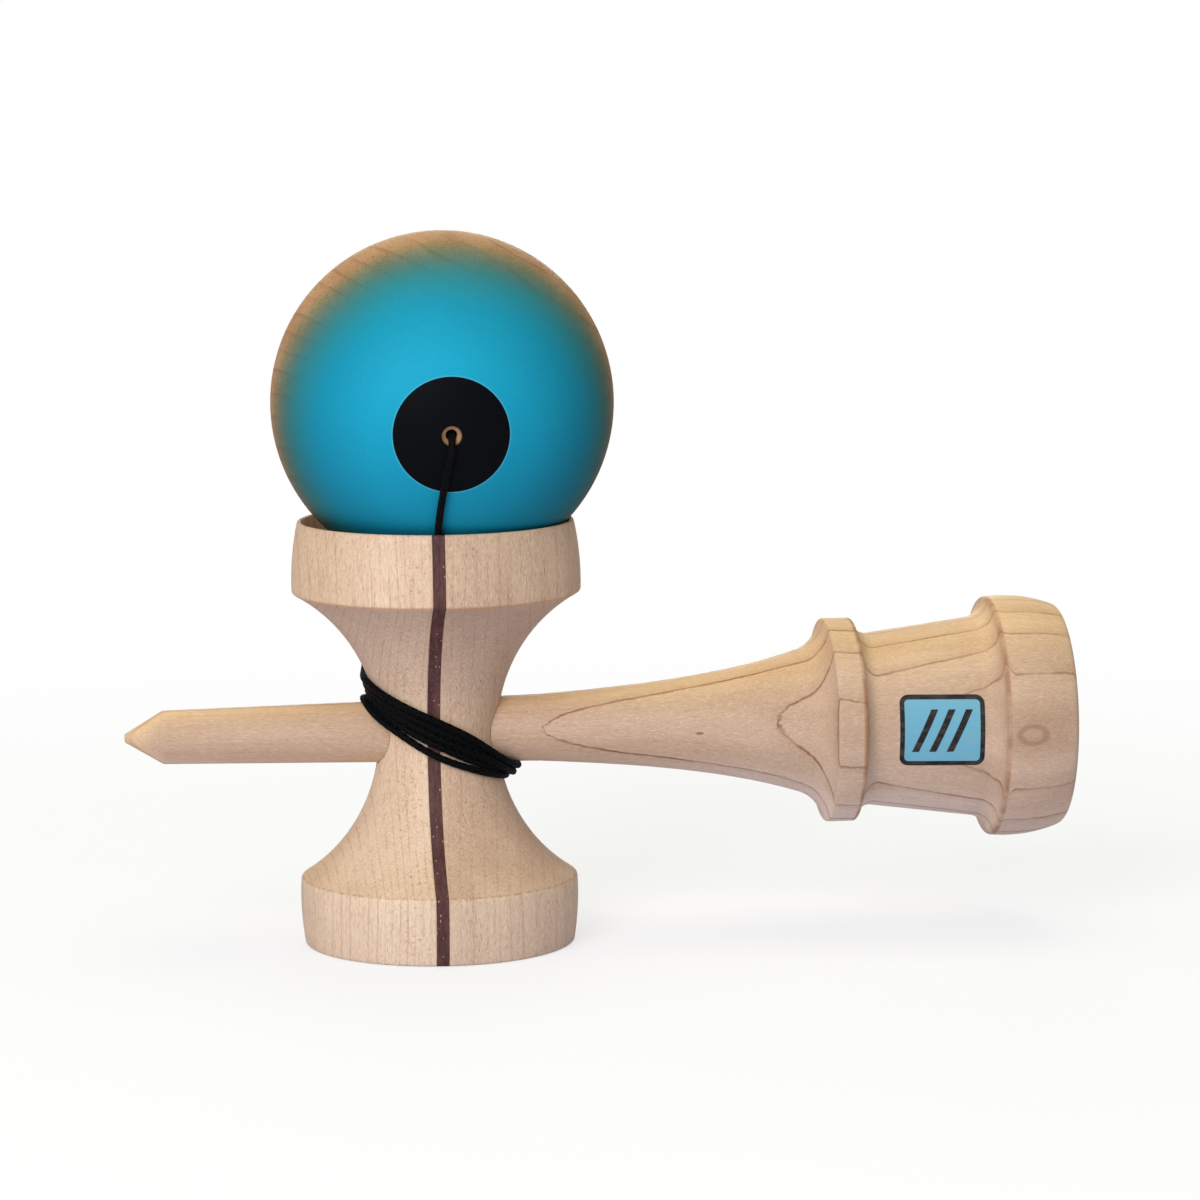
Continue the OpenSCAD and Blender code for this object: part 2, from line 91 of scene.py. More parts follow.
class Graph:
    """A material's nodes. Coordinates are the shared frame's millimetres."""

    def __init__(self, name):
        self.mat = bpy.data.materials.new(name)
        self.mat.use_nodes = True
        self.tree = self.mat.node_tree
        self.tree.nodes.clear()
        self.bsdf = self.node("ShaderNodeBsdfPrincipled")
        self.out = self.node("ShaderNodeOutputMaterial")
        self.tree.links.new(self.bsdf.outputs["BSDF"], self.out.inputs["Surface"])

    def node(self, kind, props=None, inputs=None):
        n = self.tree.nodes.new(kind)
        for k, v in (props or {}).items():
            setattr(n, k, v)
        for k, v in (inputs or {}).items():
            self.put(n.inputs[k], v)
        return n

    def put(self, socket, value):
        if isinstance(value, bpy.types.NodeSocket):
            self.tree.links.new(value, socket)
        else:
            socket.default_value = value

    def mm(self):
        coord = self.node("ShaderNodeTexCoord")
        return self.vec("SCALE", coord.outputs["Object"], scale=1 / MM)

    def vec(self, op, a, b=None, scale=None):
        n = self.node("ShaderNodeVectorMath", {"operation": op})
        self.put(n.inputs[0], a)
        if b is not None:
            self.put(n.inputs[1], b)
        if scale is not None:
            self.put(n.inputs["Scale"], scale)
        return n.outputs["Value" if op in ("DOT_PRODUCT", "LENGTH") else "Vector"]

    def times(self, v, x, y, z):
        return self.vec("MULTIPLY", v, (x, y, z))

    def split(self, v):
        n = self.node("ShaderNodeSeparateXYZ", inputs={"Vector": v})
        return n.outputs["X"], n.outputs["Y"], n.outputs["Z"]

    def math(self, op, a, b=None, c=None):
        n = self.node("ShaderNodeMath", {"operation": op})
        for i, v in enumerate((a, b, c)):
            if v is not None:
                self.put(n.inputs[i], v)
        return n.outputs["Value"]

    def product(self, first, *more):
        for factor in more:
            first = self.math("MULTIPLY", first, factor)
        return first

    def length(self, a, b):
        """Length of the longest side of a right triangle."""
        return self.math("SQRT", self.math("MULTIPLY_ADD", a, a, self.math("MULTIPLY", b, b)))

    def shifted(self, x, noise, reach):
        """x moved up and down by a noise, over a reach."""
        return self.math("MULTIPLY_ADD", self.math("SUBTRACT", noise, 0.5), reach, x)

    def noise(self, v, scale=1.0, detail=2.0, rough=0.5):
        n = self.node("ShaderNodeTexNoise", inputs={
            "Vector": v, "Scale": scale, "Detail": detail, "Roughness": rough})
        return n.outputs["Fac"]

    def cells(self, v):
        """Distance from the middle of each cell, and a random value of the cell."""
        n = self.node("ShaderNodeTexVoronoi", inputs={"Vector": v, "Scale": 1.0})
        return n.outputs["Distance"], self.split(n.outputs["Color"])[0]

    def degrees(self, direction, axis):
        """Angle between a direction and an axis."""
        turn = self.math("ARCCOSINE", self.vec("DOT_PRODUCT", direction, axis))
        return self.math("MULTIPLY", turn, math.degrees(1.0))

    def step(self, x, low, high, to_low=0.0, to_high=1.0):
        """A soft step of x from low to high."""
        n = self.node("ShaderNodeMapRange", {"interpolation_type": "SMOOTHSTEP"}, {
            "Value": x, "From Min": low, "From Max": high, "To Min": to_low, "To Max": to_high})
        return n.outputs["Result"]

    def fall(self, x, low, high):
        """A soft step down from 1 to 0."""
        return self.step(x, low, high, 1.0, 0.0)

    def band(self, x, centre, half, soft):
        """1 within half of centre, falling to 0 over soft."""
        off = self.math("ABSOLUTE", self.math("SUBTRACT", x, centre))
        return self.fall(off, half, half + soft)

    def ramp(self, x, stops):
        n = self.node("ShaderNodeValToRGB", inputs={"Fac": x})
        e = n.color_ramp.elements
        while len(e) < len(stops):
            e.new(0.5)
        for el, (pos, col) in zip(e, stops):
            el.position = pos
            el.color = col
        return n.outputs["Color"]

    def mix(self, share, a, b, blend="MIX"):
        n = self.node("ShaderNodeMix", {"data_type": "RGBA", "blend_type": blend})
        for i, v in ((0, share), (6, a), (7, b)):
            self.put(n.inputs[i], v)
        return n.outputs[2]

    def lay(self, colour, mark, *shares):
        """A mark, which is a colour and its strength, laid over a colour by the product of shares."""
        over, strength = mark
        return self.mix(self.product(*shares, strength), colour, over)

    def bump(self, height, strength, depth, normal=None):
        """A normal bent by a height, whose depth is in millimetres."""
        n = self.node("ShaderNodeBump", inputs={
            "Strength": strength, "Distance": depth * MM, "Height": height})
        if normal is not None:
            self.put(n.inputs["Normal"], normal)
        return n.outputs["Normal"]

    def finish(self, colour, rough, normal=None, **constant):
        for key, value in (("Base Color", colour), ("Roughness", rough), ("Normal", normal)):
            if value is not None:
                self.put(self.bsdf.inputs[key], value)
        for key, value in constant.items():
            self.put(self.bsdf.inputs[key.replace("_", " ")], value)
        return self.mat


# Maple: scale of each texture across and along the grain, per millimetre, and the values it comes in over
MIDDLE = (0.3, 0.7)
TONE_SCALE = (0.16, 0.02)
STREAK_SCALE, STREAK_IN = (1.7, 0.03), (0.5, 0.78)
LATE_IN, LATE_OUT = (0.7, 0.97), (0.975, 1.0)
LATE_PATCH_SCALE, LATE_PATCH_STEP = (0.3, 0.03), (0.35, 0.65, 0.25, 1.0)
FIBRE_SCALE, FIBRE_IN, FIBRE_HEIGHT = (9.0, 0.4), (0.35, 0.75), 0.35
GRAIN_SCALE, GRAIN_DARK_IN, GRAIN_PALE_IN = (3.6, 0.9), (0.5, 0.72), (0.5, 0.28)
GRAIN_PALE = srgb(255, 238, 216)
RINGS_BELOW = 50.0

# Pores: scale across and along the grain, radius in cells, and a shift that parts the two kinds
PORE_KINDS = ((2.1, 0.6, 0.3, 0.0), (3.6, 1.1, 0.34, 31.7))
PORE_CORE = 0.45
PORE_PATCH_SCALE, PORE_PATCH_STEP = (0.2, 0.09), (0.33, 0.62, 0.15, 1.0)


def along(axis, fine, slow):
    """Scale of a texture that is fine across the grain and slow along it."""
    return tuple(slow if a == axis else fine for a in "XYZ")


def ring_part(g, rings):
    """How far each place is from one growth ring's end to the next."""
    return g.math("FRACT", g.math("ADD", rings, RINGS_BELOW))


def maple(g, p, axis, rings, light, dark, line, pores, late, streaks=0.28, fibres=0.14, grains=0.22):
    """Colour and height of maple with its grain along an axis, where rings counts the growth rings.
    The values from pores on are the strengths of its kinds of marks."""
    def grained(scale, **kind):
        return g.noise(g.times(p, *along(axis, *scale)), **kind)

    colour = g.mix(g.step(grained(TONE_SCALE, detail=3.0), *MIDDLE), light, dark)
    streak = grained(STREAK_SCALE, detail=3.0, rough=0.6)
    colour = g.lay(colour, (line, streaks), g.step(streak, *STREAK_IN))
    part = ring_part(g, rings)
    patch = g.step(grained(LATE_PATCH_SCALE, detail=1.0), *LATE_PATCH_STEP)
    colour = g.lay(colour, (line, late), g.step(part, *LATE_IN), g.fall(part, *LATE_OUT), patch)
    pore = 0.0
    for fine, slow, size, shift in PORE_KINDS:
        near, pick = g.cells(g.times(g.vec("ADD", p, (shift, shift, shift)), *along(axis, fine, slow)))
        pore = g.math("MAXIMUM", g.product(g.fall(near, size * PORE_CORE, size), pick), pore)
    pore = g.product(pore, g.step(grained(PORE_PATCH_SCALE), *PORE_PATCH_STEP))
    colour = g.lay(colour, (line, pores), pore)
    fibre = grained(FIBRE_SCALE)
    colour = g.lay(colour, (line, fibres), g.step(fibre, *FIBRE_IN))
    grain = grained(GRAIN_SCALE, detail=3.0, rough=0.75)
    colour = g.lay(colour, (line, grains), g.step(grain, *GRAIN_DARK_IN))
    colour = g.lay(colour, (GRAIN_PALE, grains), g.step(grain, *GRAIN_PALE_IN))
    return colour, g.math("SUBTRACT", g.product(fibre, FIBRE_HEIGHT), pore)


# Worn edges: rays of each sample, and the cosines of the turn over which an edge comes in
EDGE_SAMPLES, EDGE_TURN = 6, (0.995, 0.9)


def worn_edge(g, reach):
    """A normal with its edges eased over a reach in millimetres, and how much each place is an edge."""
    eased = g.node("ShaderNodeBevel", {"samples": EDGE_SAMPLES}, {"Radius": reach * MM}).outputs["Normal"]
    plain = g.node("ShaderNodeNewGeometry").outputs["Normal"]
    return eased, g.step(g.vec("DOT_PRODUCT", eased, plain), *EDGE_TURN)


# The cross piece: places in millimetres, and its marks' colours and strengths
CROSS_WARP_SCALE, CROSS_WARP = (0.06, 0.02, 0.012), 2.4
CROSS_LINE = srgb(146, 104, 74)
# Painted shade under the upper band: the upper flare is given a greyer, cooler tone, rising from 40 to 48 mm
# and ending at the upper corner
BAND_SHADE_IN, BAND_SHADE_OUT, BAND_SHADE = (40.0, 48.0), (UPPER_CORNER - 0.6, UPPER_CORNER), (srgb(190, 167, 150), 0.55)
YELLOW_IN, YELLOW = (-14.0, -24.0), (srgb(214, 174, 130), 0.4)
# Painted light on the foot: the lower band below its corner is given a paler tone, for the light from the
# front and below
FOOT_LIGHT_OUT, FOOT_PAINTED_LIGHT = (LOWER_CORNER - 0.3, LOWER_CORNER + 0.3), (srgb(250, 230, 206), 0.35)
WORN_REACH, WORN = 0.45, (srgb(206, 158, 108), 0.3)
CORNER_BAND, CORNER = (UPPER_CORNER, 0.1, 0.3), (srgb(206, 148, 96), 0.5)
TORN_BAND, TORN = (LOWER_CORNER + 0.1, 0.02, 0.24), (srgb(140, 100, 70), 0.5)
TORN_SCALE, TORN_IN = (1.3, 1.3, 0.1), (0.35, 0.7)
RAY_BAND, RAY = (-6.0, 1.6, 2.4), (srgb(190, 128, 78), 0.5)
RAY_SCALE, RAY_OUT, RAY_PICK = (0.8, 0.8, 1.7), (0.16, 0.34), (0.5, 0.6)
CROSS_ROUGH_SCALE, CROSS_ROUGH = (0.8, 0.8, 0.1), (0.55, 0.68)
CROSS_MARKS = {"streaks": 0.3, "fibres": 0.24, "grains": 0.3}


def cross_maple(name, spacing, slant, light, dark, pores, late):
    """Maple of one half of the cross piece, with its growth rings a spacing apart and slanted to the back."""
    g = Graph(name)
    p = g.mm()
    x, _, z = g.split(p)
    warp = g.noise(g.times(p, *CROSS_WARP_SCALE))
    field = g.math("DIVIDE", g.vec("DOT_PRODUCT", p, (1.0, slant, 0.0)), spacing)
    rings = g.math("ADD", field, g.product(warp, CROSS_WARP))
    # Painted shade on the upper flare, under the band: a greyer, cooler tone
    held = g.product(g.step(z, *BAND_SHADE_IN), g.fall(z, *BAND_SHADE_OUT))
    yellow = g.step(x, *YELLOW_IN)
    # Painted light: the foot below the lower corner is made paler
    foot_light = g.fall(z, *FOOT_LIGHT_OUT)
    tones = []
    for tone in (light, dark):
        tone = g.lay(tone, BAND_SHADE, held)
        tone = g.lay(tone, YELLOW, yellow)
        tones.append(g.lay(tone, FOOT_PAINTED_LIGHT, foot_light))
    colour, height = maple(g, p, "Z", rings, *tones, CROSS_LINE, pores, late, **CROSS_MARKS)
    eased, edge = worn_edge(g, WORN_REACH)
    colour = g.lay(colour, WORN, edge)
    colour = g.lay(colour, CORNER, g.band(z, *CORNER_BAND))
    torn = g.step(g.noise(g.times(p, *TORN_SCALE), detail=3.0), *TORN_IN)
    colour = g.lay(colour, TORN, g.band(z, *TORN_BAND), torn)
    near, pick = g.cells(g.times(p, *RAY_SCALE))
    ray = g.product(g.fall(near, *RAY_OUT), g.step(pick, *RAY_PICK))
    colour = g.lay(colour, RAY, ray, g.band(x, *RAY_BAND))
    rough = g.step(g.noise(g.times(p, *CROSS_ROUGH_SCALE)), *MIDDLE, *CROSS_ROUGH)
    normal = g.bump(height, strength=0.4, depth=0.06, normal=eased)
    return g.finish(colour, rough, normal, Specular_IOR_Level=0.2)


# Growth rings of the handle: their depth under the front, which leans up and follows the swell of the grip
RING_LEAN, RING_LEVEL_FROM = 0.12, (58.0, 74.0)
RING_SWELL_FROM, RING_SWELL_TO, RING_SWELL_MIDDLE, RING_SWELL = 12.0, 66.0, 38.0, 0.002
RING_FIRST, RING_SPACING = 5.15, 5.2
BASE_RINGS = (96.0, 100.0, 0.0, 1.75)
BASE_BULGE_FROM, BASE_BULGE_R = 101.3, 25.0
NECK_DIP_IN, NECK_DIP_OUT, NECK_DIP_FRONT = (84.0, 92.0, 0.0, 1.1), (96.0, 100.0), (-13.0, -15.0)
RING_WARP_SCALE, RING_WARP = (0.035, 0.1, 0.1), 0.12
RING_RAGGED_SCALE, RING_RAGGED = (0.4, 1.0, 1.0), 0.055
RING_JAGGED_SCALE, RING_JAGGED = (2.2, 2.2, 2.2), 0.035

# Marks of the growth rings: places in millimetres, and colours and strengths
RING_LINE, RING_MARK = (0.0, 0.07, 0.26), (srgb(134, 88, 58), 1.0)
RING_SHADE_IN, RING_SHADE_OUT, RING_SHADE = (-2.2, 0.0), (0.0, 0.3), (srgb(150, 104, 74), 0.12)
RING_HALF, LEAST_SLOPE = (0.49, 0.51), 0.004
PATCH_SCALE, PATCH_STEP = (0.12, 0.3, 0.3), (0.3, 0.65, 0.35, 0.85)
OUTER_RINGS_STEP, NECK_RINGS_STEP = (-0.7, -0.3, 0.3, 1.0), (66.0, 78.0, 1.0, 0.7)

# Tones of the handle: above and below, each off the grip and on it, and the heart's light and dark. The tones
# below are painted light, lighter and cooler than those above, and the grip's tones are darker above and
# lighter below.
HANDLE_LIGHT = ((srgb(231, 197, 156), srgb(221, 187, 146)), (srgb(234, 210, 188), srgb(241, 221, 202)))
HANDLE_DARK = ((srgb(219, 183, 142), srgb(210, 173, 132)), (srgb(222, 196, 174), srgb(230, 208, 188)))
UNDERSIDE_LIGHT_IN = (CROSS_Z + 6.0, CROSS_Z - 14.0)
GRIP_FROM, GRIP_TO = (8.0, 20.0), (92.0, 98.0)
HEART_R, HEART_IN, HEART_SHARE = 4.5, (-0.4, -0.95), 0.8
HEART_LIGHT, HEART_DARK = srgb(203, 175, 152), srgb(189, 161, 138)
HANDLE_LINE = srgb(158, 113, 82)
HANDLE_MARKS = {"pores": 0.3, "late": 0.05, "streaks": 0.2, "fibres": 0.12, "grains": 0.24}

# Single marks of the handle: places in millimetres, and colours and strengths
FRONT_IN, DEEP_IN = (-4.0, -5.0), (-11.0, -12.0)
EYE_AT, EYE_HALF, EYE_BAND = (102.4, 37.2), (2.6, 1.7), (0.9, 0.08, 0.3)
EYE_RING, EYE_SHADE = (srgb(146, 100, 70), 0.45), (srgb(140, 98, 70), 0.26)
EYE_SHADE_IN, EYE_SHADE_FROM = (4.2, 0.9), (BASE_EDGE, BASE_EDGE + 0.6)
FLECK_AT, FLECK_HALF, FLECK_OUT = (45.4, 37.0), (0.8, 0.28), (0.6, 1.2)
FLECK = (srgb(120, 76, 52), 0.7)
BURNT_HALF, BURNT_SOFT, BURNT_STEP = 0.1, 0.5, (0.4, 0.8, 0.35, 0.7)
BURNT = (srgb(154, 104, 70), 1.0)
MOUTH_BAND, MOUTH_IN = (BASE_MOUTH_R, 0.1, 0.6), (BASE_END - 2.5, BASE_END - 0.5)
MOUTH = (srgb(160, 114, 78), 0.35)
HANDLE_EDGE_REACH = 0.6
HANDLE_ROUGH_SCALE, HANDLE_ROUGH = (0.1, 0.8, 0.8), (0.52, 0.64)

# The printed badge, in millimetres
BADGE_AT, BADGE_HALF, BADGE_ROUND, BADGE_LINE = (87.2, 37.6), (7.4, 6.3), 1.6, 0.85
BADGE_BARS, BADGE_BAR_HALF, BADGE_SLANT, BADGE_MARGIN = (-3.0, 0.0, 3.0), 0.55, 0.45, 2.6
PRINT_SOFT, BAR_SOFT, PRINT_WEAR = 0.06, 0.12, (0.35, 0.7, 1.0, 0.93)
BADGE_BLUE, BADGE_BLACK = srgb(108, 176, 200), srgb(24, 26, 28)


def oval(g, x, z, at, half):
    """Distance from an oval's middle, 1 at its edge."""
    a = g.math("DIVIDE", g.math("SUBTRACT", x, at[0]), half[0])
    b = g.math("DIVIDE", g.math("SUBTRACT", z, at[1]), half[1])
    return g.length(a, b)


def badge(g, x, z):
    """Shares of a printed badge's whole face and of its black: a rounded frame with slanted bars."""
    u = g.math("SUBTRACT", x, BADGE_AT[0])
    v = g.math("SUBTRACT", z, BADGE_AT[1])
    past = []
    for q, half in ((u, BADGE_HALF[0]), (v, BADGE_HALF[1])):
        past.append(g.math("MAXIMUM", g.math("SUBTRACT", g.math("ABSOLUTE", q), half - BADGE_ROUND), 0.0))
    edge = g.math("SUBTRACT", g.length(*past), BADGE_ROUND)
    inside = g.fall(edge, -PRINT_SOFT, PRINT_SOFT)
    black = g.step(edge, -BADGE_LINE - PRINT_SOFT, -BADGE_LINE + PRINT_SOFT)
    slanted = g.math("MULTIPLY_ADD", v, -BADGE_SLANT, u)
    bar_end = g.band(v, 0.0, BADGE_HALF[1] - BADGE_MARGIN, BAR_SOFT)
    for at in BADGE_BARS:
        bar = g.product(g.band(slanted, at, BADGE_BAR_HALF, BAR_SOFT), bar_end)
        black = g.math("MAXIMUM", black, bar)
    return inside, g.product(inside, black)


def handle_rings(g, x, y, up):
    """Count of the handle's growth rings under its front, before its noises."""
    lean = g.step(x, *RING_LEVEL_FROM, RING_LEAN, 0.0)
    depth = g.math("SUBTRACT", g.product(lean, up), y)
    held = g.math("MINIMUM", g.math("MAXIMUM", x, RING_SWELL_FROM), RING_SWELL_TO)
    off = g.math("SUBTRACT", held, RING_SWELL_MIDDLE)
    depth = g.math("MULTIPLY_ADD", g.product(off, off), -RING_SWELL, depth)
    depth = g.math("SUBTRACT", depth, g.step(x, *BASE_RINGS))
    dip = g.product(g.step(x, *NECK_DIP_IN), g.fall(x, *NECK_DIP_OUT))
    depth = g.math("MULTIPLY_ADD", dip, g.step(y, *NECK_DIP_FRONT), depth)
    bulge = g.math("MAXIMUM", g.math("SUBTRACT", x, BASE_BULGE_FROM), 0.0)
    depth = g.math("MULTIPLY_ADD", g.product(bulge, bulge), 0.5 / BASE_BULGE_R, depth)
    return g.math("DIVIDE", g.math("SUBTRACT", depth, RING_FIRST), RING_SPACING)


def handle_tone(g, tones, low, held):
    """A tone of the handle from its four colours."""
    above, below = (g.mix(held, *pair) for pair in tones)
    return g.mix(low, above, below)


def ring_distance(g, rings):
    """Distance along the surface from the nearest growth ring's end, in millimetres."""
    normal = g.node("ShaderNodeNewGeometry").outputs["Normal"]
    facing = g.vec("DOT_PRODUCT", normal, (0.0, -1.0, RING_LEAN))
    slope = g.math("MULTIPLY_ADD", facing, g.product(facing, -1.0), 1.0)
    slope = g.math("SQRT", g.math("MAXIMUM", slope, LEAST_SLOPE))
    part = ring_part(g, rings)
    near = g.math("SUBTRACT", part, g.step(part, *RING_HALF))
    return g.math("DIVIDE", g.product(near, RING_SPACING), slope)


def handle_maple():
    g = Graph("handle_maple")
    p = g.mm()
    x, y, z = g.split(p)
    up = g.math("SUBTRACT", z, CROSS_Z)
    around = g.length(y, up)
    warp = g.noise(g.times(p, *RING_WARP_SCALE), rough=0.4)
    ragged = g.noise(g.times(p, *RING_RAGGED_SCALE))
    jagged = g.noise(g.times(p, *RING_JAGGED_SCALE), rough=0.6)
    rings = handle_rings(g, x, y, up)
    for wave, reach in ((warp, RING_WARP), (ragged, RING_RAGGED), (jagged, RING_JAGGED)):
        rings = g.shifted(rings, wave, reach)

    # Painted light: the handle's tones turn lighter and cooler towards its underside
    low = g.step(z, *UNDERSIDE_LIGHT_IN)
    held = g.product(g.step(x, *GRIP_FROM), g.fall(x, *GRIP_TO))
    heart = g.step(g.math("DIVIDE", y, g.math("MAXIMUM", around, HEART_R)), *HEART_IN)
    light = g.lay(handle_tone(g, HANDLE_LIGHT, low, held), (HEART_LIGHT, HEART_SHARE), heart)
    dark = g.lay(handle_tone(g, HANDLE_DARK, low, held), (HEART_DARK, HEART_SHARE), heart)
    colour, height = maple(g, p, "X", rings, light, dark, HANDLE_LINE, **HANDLE_MARKS)

    near = ring_distance(g, rings)
    colour = g.lay(colour, RING_SHADE, g.step(near, *RING_SHADE_IN), g.fall(near, *RING_SHADE_OUT))
    patchy = g.step(g.noise(g.times(p, *PATCH_SCALE)), *PATCH_STEP)
    clear = g.product(g.step(rings, *OUTER_RINGS_STEP), g.step(x, *NECK_RINGS_STEP))
    colour = g.lay(colour, RING_MARK, g.band(near, *RING_LINE), patchy, clear)

    front = g.step(y, *FRONT_IN)
    deep = g.step(y, *DEEP_IN)
    eye = oval(g, x, z, EYE_AT, EYE_HALF)
    colour = g.lay(colour, EYE_SHADE, deep, g.step(eye, *EYE_SHADE_IN), g.step(x, *EYE_SHADE_FROM))
    colour = g.lay(colour, EYE_RING, deep, g.band(eye, *EYE_BAND))
    colour = g.lay(colour, FLECK, front, g.fall(oval(g, x, z, FLECK_AT, FLECK_HALF), *FLECK_OUT))
    burnt = g.math("MAXIMUM", *(g.band(x, at, BURNT_HALF, BURNT_SOFT) for at in (COLLAR_EDGE, BASE_EDGE)))
    colour = g.lay(colour, BURNT, burnt, g.step(patchy, *BURNT_STEP))
    colour = g.lay(colour, MOUTH, g.band(around, *MOUTH_BAND), g.step(x, *MOUTH_IN))

    inside, black = badge(g, x, z)
    ink = g.mix(black, BADGE_BLUE, BADGE_BLACK)
    colour = g.mix(g.product(inside, deep, g.step(ragged, *PRINT_WEAR)), colour, ink)
    eased, _ = worn_edge(g, HANDLE_EDGE_REACH)
    rough = g.step(g.noise(g.times(p, *HANDLE_ROUGH_SCALE)), *MIDDLE, *HANDLE_ROUGH)
    normal = g.bump(height, strength=0.3, depth=0.05, normal=eased)
    return g.finish(colour, rough, normal, Specular_IOR_Level=0.22)


# The stripe: scales per millimetre, and its colours and marks
STRIPE_TONE_SCALE, STRIPE_TONE_IN = (1.4, 0.5, 0.05), (0.3, 0.72)
STRIPE_LIGHT, STRIPE_DARK = srgb(98, 66, 63), srgb(76, 48, 48)
STRIPE_GRAIN_SCALE = (6.0, 4.0, 0.5)
STRIPE_DEEP_IN, STRIPE_DEEP = (0.45, 0.72), (srgb(52, 32, 36), 0.75)
STRIPE_PALE_IN, STRIPE_PALE = (0.45, 0.25), (srgb(128, 88, 84), 0.5)
SPECK_SCALE, SPECK_OUT, SPECK_PICK = (1.5, 1.5, 0.7), (0.1, 0.2), (0.5, 0.56)
SPECK = (srgb(206, 176, 160), 0.7)


def stripe_wood():
    g = Graph("stripe_wood")
    p = g.mm()
    tone = g.noise(g.times(p, *STRIPE_TONE_SCALE), detail=3.0)
    colour = g.mix(g.step(tone, *STRIPE_TONE_IN), STRIPE_LIGHT, STRIPE_DARK)
    grain = g.noise(g.times(p, *STRIPE_GRAIN_SCALE), detail=3.0, rough=0.65)
    colour = g.lay(colour, STRIPE_DEEP, g.step(grain, *STRIPE_DEEP_IN))
    colour = g.lay(colour, STRIPE_PALE, g.step(grain, *STRIPE_PALE_IN))
    near, pick = g.cells(g.times(p, *SPECK_SCALE))
    speck = g.product(g.fall(near, *SPECK_OUT), g.step(pick, *SPECK_PICK))
    colour = g.lay(colour, SPECK, speck)
    normal = g.bump(g.math("SUBTRACT", grain, speck), strength=0.3, depth=0.05)
    return g.finish(colour, rough=0.5, normal=normal, Specular_IOR_Level=0.15)


# The ball's paint: where its middle points, and its colours by the angle from there in degrees
PAINT_MIDDLE = (-0.02, -0.985, -0.17)
PAINT_FADE = [
    (0, srgb(26, 157, 191)), (28, srgb(25, 153, 185)), (49, srgb(21, 132, 159)), (58, srgb(35, 121, 135)),
    (63, srgb(49, 116, 121)), (68, srgb(74, 112, 107)), (73, srgb(104, 115, 97)), (78, srgb(138, 125, 94)),
    (83, srgb(171, 136, 102)), (125, srgb(206, 170, 130))]
HALF_TURN = 180.0
BARE_IN = (54.0, 84.0)
DRIFT_SCALE, SPRAY_SCALE, MOTTLE_SCALE = 0.045, 2.4, 1.1
DRIFT_REACH, SPRAY_REACH, MOTTLE_REACH = 7.0, 8.0, 7.0
# Painted light and shade on the paint: lighter towards the upper left, darker towards the right, and darker
# towards the bottom
PAINTED_SHADE_LEAN, PAINTED_SHADE_LOW = (-0.12, 0.0, 0.2), (-0.7, 0.15, 0.88, 1.03)
DOT_ANGLE, DOT_SOFT, DOT_LIGHT, DOT_DARK = 19.35, 0.1, srgb(8, 11, 15), srgb(4, 7, 11)
DOT_LIP_BAND, DOT_LIP = (DOT_ANGLE + 0.2, 0.05, 0.25), (srgb(120, 200, 224), 0.3)

# The ball's wood, which tints the paint where it is bare, and the raw wood in its holes
BALL_RINGS_ACROSS, BALL_RING_SPACING = (0.5, 0.1, 0.85), 3.4
BALL_WARP_SCALE, BALL_WARP = (0.05, 0.02, 0.05), 1.6
BALL_DARK, BALL_LINE = srgb(236, 230, 224), srgb(160, 132, 110)
BALL_MARKS = {"pores": 0.9, "late": 0.42}
RAW_SCALE, RAW_LIGHT, RAW_DARK = (0.8, 0.1, 0.8), srgb(186, 146, 110), srgb(168, 128, 94)
RAW_OUT = (BALL_R - 0.6, BALL_R - 0.15)
BALL_ROUGH, SPRAY_HEIGHT = (0.5, 0.62), 0.5


